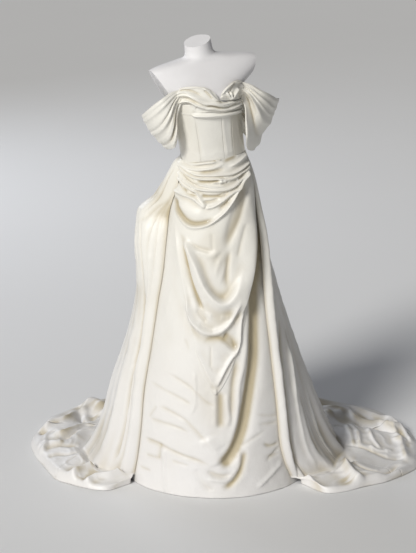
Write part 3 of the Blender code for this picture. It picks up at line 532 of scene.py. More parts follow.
frontFolds = (
    # drapes at the waist
    fold(-4, (3, 3), (-121, 1176), (-103, 1161), (-86, 1149), ends=(0.05, 0.2)),
    fold(5, (3.5, 3), (-90, 1145), (-66, 1155), (-42, 1160), (-18, 1159), (9, 1155), (26, 1148), ends=(0.3, 0.2)),
    fold(-3, (2, 3), (-97, 1136), (-69, 1143), (-35, 1150), (-8, 1152), (9, 1149), paintedShade=0.8, ends=(0.3, 0.15)),
    fold(4.5, (5, 3), (-86, 1131), (-62, 1136), (-35, 1141), (-8, 1144), (12, 1146), power=2, ends=(0.35, 0.25)),
    fold(5, (3, 5), (-122, 1144), (-107, 1131), (-86, 1121), (-62, 1119), (-35, 1121), (-8, 1125), (16, 1132),
         (36, 1142), ends=(0.1, 0.3)),
    fold(-4, (5, 5), (-56, 1110), (-25, 1112), (9, 1117), (43, 1124), paintedShade=0.15, ends=(0.3, 0.3)),
    fold(-6, (6, 7), (26, 1143), (50, 1152), (77, 1160), paintedShade=0.9, power=2, ends=(0.4, 0.3)),
    fold(5, (4, 6), (43, 1126), (70, 1135), (91, 1146), (105, 1153), (117, 1160), ends=(0.2, 0.1)),
    fold(6, (4, 2.5), (-121, 1143), (-107, 1128), (-93, 1115), (-76, 1106), (-52, 1101), (-18, 1101), (16, 1102),
         (50, 1102), (77, 1108), (105, 1121), (119, 1132), ends=(0.12, 0.08)),
    fold(6.5, (2.5, 3.5), (-124, 1140), (-114, 1125), (-97, 1107), (-76, 1095), (-52, 1090), (-18, 1090), (12, 1090),
         (43, 1087), (67, 1091), (87, 1100), (108, 1111), (121, 1122), ends=(0.12, 0.08)),
    fold(-4, (2, 4), (-63, 1079), (-32, 1080), (-1, 1082), (19, 1085), paintedShade=0.6, ends=(0.25, 0.2)),
    fold(5, (3, 3), (-8, 1076), (16, 1080), (43, 1081)),
    fold(4, (2, 2), (19, 1091), (22, 1082), (19, 1069)),
    fold(5, (3, 2.5), (-125, 1136), (-114, 1119), (-103, 1100), (-86, 1082), (-62, 1072), (-39, 1067), (-12, 1063),
         (16, 1063), (43, 1064), ends=(0.08, 0.2)),
    fold(-2, (3, 2), (-110, 1110), (-93, 1088), (-69, 1073), (-42, 1070), paintedShade=0.7, ends=(0.3, 0.3)),
    fold(7, (4, 3), (-133, 1128), (-125, 1112), (-114, 1093), (-97, 1074), (-76, 1062), (-52, 1054), (-18, 1052),
         (16, 1052), (46, 1055), (70, 1064), (91, 1081), (104, 1097), (118, 1116), ends=(0.12, 0.1)),
    fold(6, (4, 3), (-143, 1094), (-132, 1084), (-117, 1074), (-97, 1061), (-76, 1051), (-56, 1040), ends=(0.1, 0.2)),
    fold(-4, (3, 4), (-132, 1063), (-117, 1052), (-97, 1043), (-76, 1035), (-59, 1032), paintedShade=0.55, ends=(0.2, 0.2)),
    fold(7, (4, 6), (-150, 1046), (-138, 1036), (-124, 1031), (-97, 1029), (-69, 1023), (-49, 1008), (-29, 992),
         ends=(0.1, 0.05)),
    fold(6, (3, 3), (-83, 1057), (-62, 1046), (-52, 1031), (-42, 1016), (-27, 999), ends=(0.2, 0.1)),
    fold(-5, (4, 4), (-44, 1032), (-12, 1031), (22, 1034), (50, 1045), paintedShade=0.6, ends=(0.08, 0.3)),
    fold(-5, (3, 4), (-39, 1012), (-12, 1015), (19, 1026), paintedShade=0.1, ends=(0.2, 0.3)),
    fold(7, (4, 3), (-29, 992), (-8, 996), (16, 1009), (43, 1029), (63, 1043), (84, 1056), (103, 1085), (117, 1108),
         ends=(0.05, 0.1)),
    fold(-3, (4, 6), (12, 988), (34, 1003), (58, 1023), paintedShade=0.12, ends=(0.3, 0.3)),
    # the pouch at the hip
    fold(4, (22, 12), (-121, 1008), (-104, 984), (-76, 971), (-50, 968), (-22, 968), power=2, ends=(0.2, 0.3)),
    fold(-6, (9, 7), (-135, 1012), (-128, 984), (-114, 960), (-93, 942), (-69, 936), (-42, 940), (-18, 948),
         (5, 960), paintedShade=0.6, power=2, ends=(0.1, 0.25)),
    fold(10, (5, 3.5), (-138, 999), (-128, 970), (-114, 948), (-93, 929), (-73, 924), (-49, 927), (-25, 935),
         (-5, 946), (12, 960), (33, 979), (53, 1005), (70, 1032), (84, 1053), (101, 1082), (114, 1104),
         ends=(0.1, 0.06)),
    fold(-15, (12, 18), (114, 1107), (106, 1065), (96, 1019), (83, 971), (65, 922), (47, 874), (28, 826), power=2,
         ends=(0.2, 0.35)),
    # painted shadow beside the right arm, with no relief
    fold(0, (11, 20), (108, 1075), (98, 1019), (86, 971), (67, 922), (49, 874), paintedShade=0.6, power=2.5, ends=(0.2, 0.4)),
    fold(-3, (3, 4), (-8, 910), (-5, 845)),
    fold(-4, (10, 4), (-100, 883), (-83, 867), (-63, 859), (-39, 850), (-15, 848), (5, 851), ends=(0.3, 0.3)),
    fold(3, (3, 12), (-87, 870), (-63, 849), (-39, 841), (-15, 838), ends=(0.3, 0.3)),
    fold(4, (8, 6), (-40, 822), (-8, 832), (22, 850), ends=(0.4, 0.4)),
    fold(-3, (6, 8), (-12, 800), (2, 816), (19, 835), (33, 851), ends=(0.4, 0.4)),
    fold(2, (5, 5), (30, 832), (12, 796), (0, 757), ends=(0.4, 0.4)),
    fold(2, (5, 5), (48, 822), (29, 770), (14, 726), ends=(0.4, 0.4)),
    # painted shade over the middle of the drape, with no relief
    fold(0, (50, 40), (-50, 905), (-15, 870), (10, 810), (20, 745), paintedShade=0.2, power=2.5, ends=(0.2, 0.4)),
    # the deep swag and its arms
    fold(18, (10, 26), (-100, 889), (-83, 850), (-59, 798), (-42, 752), (-25, 718), (-4, 690), (20, 673), (43, 676),
         (62, 700), (81, 742), (97, 795), power=1.7, ends=(0.1, 0.2)),
    fold(-14, (8, 9), (-110, 886), (-98, 830), (-87, 765), (-66, 703), (-42, 650), (-18, 618), paintedShade=0.4,
         ends=(0.2, 0.4)),
    fold(5, (6, 15), (-135, 932), (-121, 835), (-107, 754), (-94, 686), (-87, 637)),
    fold(-8, (6, 20), (58, 860), (48, 810), (44, 765), (46, 715), ends=(0.3, 0.3)),
    fold(-3, (6, 6), (105, 936), (91, 880), (77, 818)),
    fold(21, (8, 34), (125, 1046), (135, 985), (136, 920), (131, 850), (122, 785), (110, 725), (97, 668), (83, 614),
         power=2, ends=(0.45, 0.15)),
    fold(-17, (26, 14), (138, 1040), (143, 960), (147, 880), (143, 762), (138, 675), (137, 574), (135, 472),
         (127, 406), (113, 322), (96, 236), (72, 169), (47, 132), (13, 104), power=2.2, ends=(0.2, 0.08)),
    # painted shadow in the trough beside the right arm, with no relief
    fold(0, (22, 22), (143, 930), (147, 870), (144, 762), (139, 675), (138, 574), (136, 472), (128, 406), (114, 322),
         (97, 236), (72, 169), (47, 132), (13, 104), paintedShade=0.8, power=5, ends=(0.15, 0.08)),
    # the second swag
    fold(12, (12, 7), (-92, 680), (-87, 640), (-79, 612), (-66, 593), (-44, 575), (-16, 566), (10, 569), (36, 585),
         (57, 611), (71, 646), (83, 690), ends=(0.1, 0.15)),
    fold(4, (4, 4), (-52, 657), (-29, 635), (-5, 622)),
    fold(-5, (5, 5), (-63, 649), (-42, 623), (-25, 607)),
    fold(-5, (5, 3), (-52, 594), (-25, 584), (2, 578)),
    fold(4, (5, 4), (20, 622), (50, 620)),
    fold(-6, (8, 7), (-42, 535), (-11, 551), (23, 548), (50, 527), (71, 501), paintedShade=0.4, ends=(0.3, 0.3)),
    fold(3, (3, 5), (-1, 552), (36, 529), (74, 491), ends=(0.3, 0.1)),
    fold(-8, (8, 10), (30, 565), (60, 545), (78, 508), paintedShade=0.2),
    fold(8, (4, 10), (106, 657), (92, 620), (88, 584), (85, 531), (74, 498), (54, 472), (33, 435), (6, 379),
         ends=(0.15, 0.06)),
    fold(3, (12, 3), (-80, 568), (-59, 503), (-35, 453), (-15, 412), (6, 379), ends=(0.3, 0.05)),
    fold(-2, (3, 6), (-11, 535), (-11, 446), ends=(0.3, 0.1)),
    fold(-2, (6, 3), (-12, 444), (18, 436)),
    fold(-6, (8, 6), (82, 485), (70, 430), (62, 380), (60, 310), (61, 235), paintedShade=0.25, ends=(0.2, 0.2)),
    fold(7, (5, 12), (112, 600), (109, 511), (99, 444), (86, 384), (80, 308), (70, 239), (50, 180), ends=(0.2, 0.3)),
    # below the drape
    fold(4.5, (3, 18), (6, 378), (6, 304), (6, 232), ends=(0.05, 0.2)),
    fold(-4, (10, 10), (20, 370), (21, 300), (20, 235), paintedShade=0.25, power=2),
    fold(5, (7, 7), (44, 365), (44, 318), (51, 275), (37, 240)),
    fold(6, (30, 30), (-30, 210), (0, 150), (20, 110), power=2),
    fold(-3, (3, 4), (-39, 185), (-8, 161), (6, 157)),
    fold(-3, (3, 4), (6, 160), (30, 174), (47, 181)),
    fold(-6, (6, 5), (-25, 90), (3, 73), (37, 68), (58, 78)),
    fold(5, (4, 6), (-29, 61), (10, 55), (44, 57), (62, 70)),
    fold(-8, (8, 10), (108, 163), (100, 113), (86, 72), (62, 42), (27, 22), paintedShade=0.6, power=2, ends=(0.15, 0.2)),
    fold(4, (5, 5), (89, 150), (86, 97), (62, 74)),
    fold(-3, (8, 8), (-67, 98), (-53, 64), (-32, 36), (-4, 16)),
    # painted shade down the middle below the drape, with no relief
    fold(0, (45, 55), (-40, 480), (0, 330), (15, 210), paintedShade=0.16, power=3, ends=(0.3, 0.3)),
    # crinkles on the right panel
    fold(-3, (3, 4.8), (141, 279), (183, 266), (222, 256), paintedShade=0.18, ends=(0.3, 0.2)),
    fold(-3.6, (3, 4.8), (148, 243), (191, 237), (222, 235), paintedShade=0.18, ends=(0.3, 0.2)),
    fold(-4.4, (3, 4.8), (96, 170), (138, 196), (183, 221), paintedShade=0.18, ends=(0.1, 0.4)),
    fold(-6, (4, 3.6), (169, 172), (194, 156), (227, 160), paintedShade=0.45, ends=(0.3, 0.2)),
    fold(-4.4, (3, 6), (177, 103), (202, 125), (230, 148), paintedShade=0.18, ends=(0.3, 0.2)),
    fold(-3.6, (3, 3.6), (173, 125), (209, 120), (227, 121), paintedShade=0.18, ends=(0.3, 0.2)),
    fold(6, (8, 3.6), (149, 14), (191, 47), (245, 93), ends=(0.2, 0.1)),
    # pressed lines on the left panel
    fold(5.6, (3, 2.4), (-70, 436), (-66, 378), (-66, 344), (-70, 309), (-87, 279), ends=(0.1, 0.2)),
    fold(-2.8, (3, 6), (-174, 423), (-122, 400), (-80, 377), (-53, 355), (-29, 332), (6, 315), paintedShade=0.18,
         ends=(0.2, 0.1)),
    fold(-2.8, (3, 6), (-230, 371), (-174, 355), (-122, 338), (-80, 318), paintedShade=0.18, ends=(0.2, 0.1)),
    fold(-3.6, (3, 7.2), (-199, 297), (-157, 287), (-105, 267), (-80, 245), (-42, 206), (-1, 158), paintedShade=0.21,
         ends=(0.15, 0.3)),
    fold(-3.6, (3, 6), (-228, 243), (-174, 241), (-122, 233), (-77, 214), paintedShade=0.21, ends=(0.1, 0.3)),
    fold(-2.8, (3, 3.6), (-199, 293), (-215, 268), (-228, 243), paintedShade=0.18),
    fold(-4.4, (3, 7.2), (-246, 166), (-192, 163), (-129, 144), (-53, 124), (-1, 101), paintedShade=0.25, ends=(0.1, 0.3)),
    fold(-2.8, (3, 4.8), (-150, 113), (-87, 104), paintedShade=0.18),
    fold(-4, (3, 2.4), (-239, 109), (-189, 111), paintedShade=0.25, ends=(0.1, 0.05)),
    fold(-4.8, (3, 3.6), (-187, 163), (-193, 110), paintedShade=0.25, ends=(0.05, 0.05)),
    fold(5.6, (4, 3.6), (-178, 153), (-175, 83), (-172, 3), ends=(0.1, 0)),
    fold(-4, (3, 3.6), (-262, 56), (-221, 59), paintedShade=0.25, ends=(0.1, 0.2)),
    fold(-3.6, (3, 3.6), (-101, 546), (-87, 507), paintedShade=0.18),
)

# skirt

skirtDial = {
    "reach": (0.022, 0.030),  # the folds die out this far from the overskirt, at the waist and lower down
    "reachHeights": (0.92, 1.02),
    "relief": 1.20,
    "waistRelief": 0.70,  # more of it above the heights below
    "waistHeights": (0.95, 1.05),
    "shift": (0.004, -0.009),  # where a fold stands out it is seen this far from its line
    "rumple": 0.0016,
    "rumpleSizes": (0.055, 0.045),
    "rumpleRidges": 0.6,
    "rumpleTop": 1.0,
    "rumpleFade": 0.3,
    # painted shade beside the overskirt's edges, and its width
    "edgePaintedShade": 0.3,
    "edgeShadeWidth": 0.008,
    "underCowl": 0.004,  # the skirt hangs this much further in under the drape
    "cowlMargin": (1.5, 3.0),  # degrees in from the drape's edge, and over how many
}
deepest = (  # height, how far a fold may go in
    (0.00, 0.030), (0.80, 0.030), (0.90, 0.012), (0.97, 0.006), (1.05, 0.008), (1.10, 0.006), (1.155, 0.001),
)
overskirtEdges = (  # height, left and right bearing
    (0.030, -63, 56), (0.100, -61, 50), (0.200, -60, 47), (0.350, -63, 48), (0.500, -66, 51), (0.650, -70, 55),
    (0.800, -73, 64), (0.900, -80, 72), (0.940, -86, 76), (1.000, -88, 81), (1.050, -88, 84), (1.110, -88, 86),
    (1.153, -86, 85),
)
cowlLeft = (  # height, bearing of the drape's edge
    (0.365, 0), (0.640, -24), (0.700, -32), (0.800, -42), (0.900, -52), (0.940, -63), (0.990, -78), (1.031, -86),
    (1.178, -88),
)
cowlRight = (
    (0.365, 0), (0.650, 31), (0.750, 39), (0.840, 48), (0.920, 58), (0.980, 67), (1.020, 74), (1.046, 80),
    (1.178, 85),
)


def besideOverskirt(bearing, height):  # metres round from its left edge, and to its right one
    leftEdge, rightEdge = section(overskirtEdges, height)
    perDegree = np.radians(section(skirtRows, height)[1])
    return (bearing - leftEdge) * perDegree, (rightEdge - bearing) * perDegree


def frontSpots(points):
    return points[..., [0, 2]] + skirtDial["shift"]


def rising(height, heights):  # 0 below the first height, 1 above the second
    return smooth((height - heights[0]) / (heights[1] - heights[0]))


def frontOut(bearing, height):
    # how far the folds stand out, let down to nothing where the overskirt lies over the skirt
    points = skirtPoints(bearing, height)
    relief = skirtDial["relief"] + skirtDial["waistRelief"] * rising(height, skirtDial["waistHeights"])
    lift = relief * foldField(frontSpots(points), frontFolds)
    broad, fine = skirtDial["rumpleSizes"]
    rumple = skirtDial["rumple"] * (grain(points, broad) + skirtDial["rumpleRidges"] * ridges(points, fine))
    lift += rumple * smooth((skirtDial["rumpleTop"] - height) / skirtDial["rumpleFade"])
    close, far = skirtDial["reach"]
    nearness = np.minimum(*besideOverskirt(bearing, height))
    nearness = nearness / (far + (close - far) * rising(height, skirtDial["reachHeights"]))
    covered = np.where(lift > 0, smooth(nearness), smooth(nearness + 1))
    lowest = valueAt(deepest, height)
    sunk = np.maximum(-lift, 0) / lowest
    lift = np.where(lift > 0, lift, -lowest * sunk / (1 + sunk**3) ** (1 / 3))  # troughs bottom out softly
    return evened((lift * covered)[..., None], 1)[..., 0]


def frontPaintedShade(bearing, height):  # painted brownish shade in the deep folds and down beside the overskirt's edges
    left, right = besideOverskirt(bearing, height)
    beside = np.minimum(np.abs(left), np.abs(right)) / skirtDial["edgeShadeWidth"]
    shade = foldField(frontSpots(skirtPoints(bearing, height)), frontFolds, "paintedShade")
    return shade + skirtDial["edgePaintedShade"] * np.exp(-(beside**2))


def skirtPanel(name, node, bearings, heights):
    height, bearing = grid(heights, bearings)
    margin, over = skirtDial["cowlMargin"]
    inside = np.minimum(bearing - valueAt(cowlLeft, height), valueAt(cowlRight, height) - bearing)
    under = smooth((inside - margin) / over)
    out = frontOut(bearing, height)
    sunk = np.maximum(out - skirtDial["underCowl"] * under, np.minimum(out, -valueAt(deepest, height)))
    points = skirtPoints(bearing, height, np.where(under > 0, sunk, out))
    piece = clothPiece(name, node, points, frontPaintedShade(bearing, height))


skirtTop = 1.1546
columns = gathered(((-100, 0), (-62, 12), (52, 120), (100, 14)), 146)
rows = gathered(((skirtTop, 0), (0.90, 16), (0.45, 50), (clothDial["hem"], 120)), 186)
skirtPanel("frontSkirtCloth", "skirt_front", columns, rows)
columns, rows = np.linspace(100, 260, 34), np.linspace(skirtTop, clothDial["hem"], 60)
skirtPanel("backSkirtCloth", "skirt_back", columns, rows)
print("skirt made")

# the drape over the skirt's front

cowlDial = {"rows": 236, "columns": 168}
swags = (  # left bearing and height, lowest bearing and height, right bearing and height, roundness
    (-86, 1.1780, -20, 1.1590, 85, 1.1530, 2.0),
    (-87, 1.1440, -20, 1.1250, 85, 1.1330, 2.0),
    (-88, 1.1090, -10, 1.0880, 85, 1.1130, 2.0),
    (-88, 1.0860, 0, 1.0450, 84, 1.0920, 2.0),
    (-88, 1.0610, -5, 0.9950, 83, 1.0700, 1.9),
    (-86, 1.0310, -25, 0.9250, 80, 1.0460, 1.9),
    (-78, 0.9900, -8, 0.8500, 74, 1.0200, 1.8),
    (-63, 0.9400, -2, 0.7450, 67, 0.9800, 1.8),
    (-52, 0.9000, 6, 0.6720, 58, 0.9200, 1.7),
    (-42, 0.8000, 2, 0.5700, 48, 0.8400, 1.6),
    (-32, 0.7000, 0, 0.4600, 39, 0.7500, 1.5),
    (-24, 0.6400, 0, 0.3650, 31, 0.6500, 1.4),
)


def cowl():
    down, across = grid(np.linspace(0, len(swags) - 1, cowlDial["rows"]), np.linspace(0, 1, cowlDial["columns"]))
    columns = (along(range(len(swags)), column(swags, index), down) for index in range(7))
    left, leftHeight, middle, low, right, rightHeight, power = columns
    side = 2 * across - 1
    bearing = left * side * (side - 1) / 2 + middle * (1 - side * side) + right * side * (side + 1) / 2
    hang = 1 - np.abs(side) ** power
    height = (leftHeight + (rightHeight - leftHeight) * across) * (1 - hang) + low * hang
    points = skirtPoints(bearing, height, clothDial["layer"] + frontOut(bearing, height))
    piece = clothPiece("cowlCloth", "skirt_cowl_drape", points, frontPaintedShade(bearing, height))


cowl()
print("cowl drape made")

# overskirt and train

overskirtDial = {
    "rollWidth": 0.040,
    "rollHeight": (0.011, 0.020),  # left, right
    "rollStart": (0.26, 0.34),  # left, right
    "sideRise": 0.022,  # the left side is sewn in this much higher
    "sideShares": (0.30, 0.25),  # up to this share of the way round, and over how much
    "riseFrom": 1.02,
    "shareSize": 1.5,  # metres round the overskirt that its fold lines are drawn on
    "foldFade": (0.006, 0.02),  # from the edge and from the seam at the waist
    "rumple": 0.0022,
    "rumpleSizes": (0.07, 0.05),
    "rumpleRidges": 0.7,
    "rumpleFade": 0.03,
    # painted shade along the overskirt's own edge, and its width
    "edgePaintedShade": 0.55,
    "edgeShadeWidth": 0.004,
}
trainDial = {
    "foldStart": 0.3,
    "foldEnd": 0.16,
    "sweep": 3,
    "hemWave": 0.016,
    "hemWaveSize": 0.09,
    "hemWaveFade": 0.05,
    "puff": 0.018,
    "crumple": 0.003,
    "crumpleSize": 0.05,
    "crumpleGrain": 0.6,
    "evenRounds": 3,
}
overskirtSides = (*overskirtEdges[:-1], (1.135, -87, 86), overskirtEdges[-1])  # held out to just under the waist
roundShares = (0.0, 0.065, 0.15, 0.26, 0.37, 0.5, 0.63, 0.74, 0.85, 0.935, 1.0)
overskirtRows = (  # height, how far it stands out at each of those shares, from the left edge round to the right one
    (0.030, 0.0, 0.094, 0.146, 0.192, 0.222, 0.246, 0.220, 0.180, 0.120, 0.066, 0.0),
    (0.100, 0.0, 0.072, 0.112, 0.152, 0.182, 0.206, 0.180, 0.140, 0.078, 0.040, 0.0),
    (0.200, 0.0, 0.056, 0.090, 0.126, 0.152, 0.174, 0.142, 0.102, 0.046, 0.024, 0.0),
    (0.350, 0.0, 0.047, 0.079, 0.106, 0.126, 0.140, 0.110, 0.068, 0.022, 0.012, 0.0),
    (0.500, 0.0, 0.042, 0.070, 0.092, 0.108, 0.116, 0.086, 0.052, 0.014, 0.008, 0.0),
    (0.650, 0.0, 0.048, 0.074, 0.088, 0.098, 0.098, 0.070, 0.042, 0.010, 0.006, 0.0),
    (0.800, 0.0, 0.080, 0.106, 0.104, 0.094, 0.084, 0.058, 0.034, 0.009, 0.005, 0.0),
    (0.900, 0.0, 0.097, 0.119, 0.110, 0.090, 0.072, 0.050, 0.028, 0.009, 0.005, 0.0),
    (0.940, 0.0, 0.103, 0.126, 0.112, 0.088, 0.066, 0.046, 0.026, 0.008, 0.004, 0.0),
    (1.000, 0.0, 0.064, 0.084, 0.078, 0.064, 0.050, 0.038, 0.022, 0.008, 0.004, 0.0),
    (1.050, 0.0, 0.052, 0.070, 0.060, 0.046, 0.034, 0.028, 0.018, 0.007, 0.004, 0.0),
    (1.110, 0.0, 0.036, 0.047, 0.038, 0.026, 0.014, 0.012, 0.010, 0.006, 0.003, 0.0),
    (1.135, 0.0, 0.023, 0.030, 0.023, 0.016, 0.008, 0.006, 0.005, 0.003, 0.001, 0.0),
    (1.153, 0.0, 0.0, 0.0, 0.0, 0.0, 0.0, 0.0, 0.0, 0.0, 0.0, 0.0),
)
trainOutline = (  # share of the way round, x, y
    (0.000, -0.300, -0.150),
    (0.040, -0.385, -0.212),
    (0.080, -0.470, -0.182),
    (0.135, -0.560, -0.115),
    (0.200, -0.634, 0.030),
    (0.275, -0.681, 0.250),
    (0.340, -0.650, 0.400),
    (0.400, -0.562, 0.575),
    (0.450, -0.340, 0.730),
    (0.500, 0.000, 0.800),
    (0.550, 0.340, 0.720),
    (0.600, 0.590, 0.570),
    (0.660, 0.712, 0.415),
    (0.725, 0.755, 0.240),
    (0.800, 0.740, 0.050),
    (0.865, 0.660, -0.090),
    (0.920, 0.530, -0.175),
    (0.960, 0.400, -0.236),
    (1.000, 0.304, -0.150),
)
uprightFolds = (  # share of the way round, half width in the same share, depth at the floor, where it begins
    (0.085, 0.026, 0.006, 0.95),
    (0.182, 0.034, 0.014, 0.98),
    (0.258, 0.034, 0.024, 1.03),
    (0.352, 0.034, 0.024, 1.00),
    (0.428, 0.040, 0.026, 1.06),
    (0.552, 0.040, 0.028, 1.05),
    (0.638, 0.036, 0.024, 1.02),
    (0.735, 0.036, 0.022, 0.96),
    (0.812, 0.034, 0.018, 0.85),
    (0.905, 0.030, 0.014, 0.74),
)
floorFolds = (  # x, y, half length, half width, heading, height
    (-0.50, -0.02, 0.16, 0.070, 60, 0.020),
    (-0.57, 0.16, 0.15, 0.070, 95, 0.020),
    (-0.57, 0.36, 0.15, 0.070, 120, 0.014),
    (-0.42, 0.52, 0.15, 0.070, 145, 0.014),
    (-0.14, 0.66, 0.16, 0.070, 175, 0.030),
    (0.20, 0.66, 0.16, 0.070, 10, 0.030),
    (0.46, 0.46, 0.15, 0.070, 35, 0.014),
    (0.60, 0.28, 0.15, 0.070, 65, 0.014),
    (0.50, -0.10, 0.16, 0.060, 140, 0.020),
)
hangingFolds = (  # millimetres round from the left edge, height
    fold(-8, (8, 6), (68, 700), (67, 540), (67, 330), (70, 60), ends=(0.2, 0.05)),
    fold(-6, (3, 4), (50, 1137), (74, 1090), (64, 1027), (65, 973), (78, 930), paintedShade=0.2, ends=(0.2, 0.3)),
    fold(-7, (4, 3), (18, 1000), (35, 973), (49, 947), (68, 926), (120, 905), paintedShade=0.25, ends=(0.25, 0.25)),
    fold(-6, (3, 4), (19, 1010), (21, 986), (28, 949), (43, 902), (52, 830), (55, 730), paintedShade=0.3, ends=(0.2, 0.4)),
    fold(-3, (4, 4), (10, 1070), (9, 1000), (12, 930), (18, 860), ends=(0.3, 0.3)),
    fold(-4, (3, 3), (14, 1060), (16, 980), (26, 880), (30, 760), (32, 640), paintedShade=0.2, ends=(0.2, 0.4)),
    fold(-6, (4, 5), (75, 930), (82, 870), (84, 780), (86, 700), paintedShade=0.2, ends=(0.3, 0.4)),
    fold(-3, (8, 10), (112, 900), (115, 820), (118, 720), ends=(0.3, 0.4)),
    fold(6, (8, 6), (40, 819), (38, 730), (37, 643)),
    fold(-3, (3, 4), (95, 555), (78, 547), (66, 556)),
    fold(-3, (3, 4), (84, 398), (62, 429)),
    fold(3, (3, 4), (74, 380), (62, 388), (60, 311)),
    fold(-3, (10, 12), (140, 1080), (112, 980), (100, 920)),
    fold(-3, (14, 18), (150, 905), (170, 600), (175, 300), (180, 80)),
    fold(-4, (4, 6), (205, 700), (215, 640), (200, 600)),
    fold(3, (10, 16), (120, 380), (128, 250), (150, 60)),
    fold(-14, (12, 10), (1366, 623), (1425, 459), (1444, 311), (1452, 158), (1480, 30), ends=(0.25, 0)),
    fold(7, (10, 14), (1340, 520), (1385, 340), (1395, 150), (1400, 40)),
    fold(-8, (12, 12), (1300, 560), (1345, 300), (1350, 40)),
    fold(6, (10, 14), (1250, 420), (1275, 200), (1285, 40)),
    fold(-6, (14, 16), (420, 900), (430, 500), (440, 100)),
    fold(-7, (16, 14), (700, 1000), (710, 600), (730, 100)),
    fold(-6, (14, 18), (880, 950), (870, 500), (860, 80)),
    fold(-6, (16, 14), (1060, 900), (1070, 500), (1080, 100)),
)
trainFolds = (  # seen from above
    # left side
    fold(34, (24, 20), (-421, 511), (-447, 555), (-475, 577), (-499, 533), (-515, 468)),
    fold(-24, (12, 12), (-497, 554), (-474, 478), (-457, 393)),
    fold(-18, (10, 10), (-467, 499), (-442, 467), (-422, 435)),
    fold(20, (18, 20), (-526, 527), (-544, 441), (-559, 388), (-588, 367), (-620, 346), (-650, 280)),
    fold(-24, (10, 10), (-519, 560), (-517, 498), (-508, 413), (-486, 361)),
    fold(18, (22, 10), (-614, 253), (-567, 223), (-525, 264), (-484, 325), (-444, 356)),
    fold(-26, (12, 10), (-441, 345), (-485, 325), (-527, 254), (-553, 203), (-564, 164)),
    fold(-20, (10, 10), (-656, 320), (-644, 290), (-640, 260)),
    fold(16, (8, 8), (-647, 75), (-629, 114), (-610, 154), (-579, 134), (-555, 154)),
    fold(12, (7, 7), (-655, 120), (-640, 160), (-615, 195)),
    fold(-10, (7, 7), (-625, 106), (-582, 115), (-530, 106), (-494, 115)),
    fold(-8, (8, 8), (-612, 29), (-569, 38), (-524, 19), (-474, 29)),
    fold(30, (16, 12), (-526, -168), (-486, -122), (-439, -85), (-390, -67), (-353, -10), (-324, 75)),
    fold(26, (10, 9), (-472, -230), (-454, -186), (-424, -159), (-365, -150), (-302, -113)),
    fold(-22, (12, 12), (-291, -28), (-342, -28), (-383, -56), (-425, -100)),
    fold(14, (10, 10), (-381, -240), (-341, -210), (-300, -180)),
    # right side
    fold(20, (13, 12), (406, 549), (424, 462), (448, 419), (481, 451), (513, 473), (535, 409), (578, 377),
         (623, 367), (647, 304), (675, 243)),
    fold(22, (14, 14), (399, 586), (430, 520), (470, 488), (518, 510), (569, 472), (619, 434), (659, 414),
         (685, 330), (700, 268)),
    fold(-16, (14, 14), (535, 383), (570, 341), (612, 310), (655, 289)),
    fold(18, (14, 14), (657, 414), (665, 330), (677, 258), (687, 168), (689, 70), (690, 3)),
    fold(16, (10, 10), (695, 350), (712, 279), (722, 188)),
    fold(14, (7, 7), (640, 340), (662, 318), (690, 312)),
    fold(-14, (7, 7), (640, 290), (668, 268), (700, 262)),
    fold(12, (8, 8), (655, 220), (680, 200), (712, 205)),
    fold(11, (7, 7), (494, 351), (505, 238), (507, 120)),
    fold(10, (7, 7), (510, 371), (530, 248), (531, 130)),
    fold(11, (7, 7), (570, 309), (583, 188), (606, 110)),
    fold(10, (8, 8), (560, 130), (600, 100), (650, 110)),
    fold(-10, (5, 5), (463, 154), (502, 135), (547, 106), (581, 77), (639, 29), (700, 35)),
    fold(30, (12, 16), (436, 75), (456, -57), (482, -140), (535, -195), (593, -168), (649, -95), (700, -29)),
    fold(-16, (9, 9), (451, 144), (473, 38), (494, -37), (512, -74), (557, -102), (607, -93), (665, -9)),
    fold(-16, (9, 9), (392, 144), (428, 67), (459, -18), (487, -83)),
    fold(-20, (12, 12), (346, 243), (381, 67), (415, -147)),
    fold(18, (12, 12), (395, -280), (449, -255), (520, -228), (614, -158), (690, -85)),
    fold(12, (10, 10), (316, -144), (352, -206), (369, -260)),
    # behind
    fold(30, (18, 16), (-360, 620), (-300, 560), (-260, 480)),
    fold(34, (18, 20), (-220, 720), (-160, 620), (-130, 520)),
    fold(-16, (12, 12), (-120, 700), (-60, 660), (0, 690)),
    fold(30, (20, 16), (20, 740), (30, 620), (10, 520)),
    fold(34, (16, 20), (160, 720), (190, 630), (180, 520)),
    fold(30, (18, 16), (300, 700), (320, 600), (290, 500)),
    fold(-14, (10, 12), (240, 620), (280, 660), (340, 660)),
)


def uprightLift(share, height):
    lift = np.zeros_like(share)
    for middle, halfWidth, depth, top in uprightFolds:
        away = np.clip(np.abs(share - middle) / halfWidth, 0, 1)
        lift += depth * (0.5 + 0.5 * np.cos(np.pi * away)) * smooth((top - height) / top)
    return lift


def floorLift(x, y):
    lift = np.zeros_like(x)
    for foldX, foldY, halfLength, halfWidth, heading, high in floorFolds:
        ahead, aside = math.cos(math.radians(heading)), math.sin(math.radians(heading))
        on = ((x - foldX) * ahead + (y - foldY) * aside) / halfLength
        off = ((y - foldY) * ahead - (x - foldX) * aside) / halfWidth
        lift += high * np.exp(-on * on - off * off)
    return lift


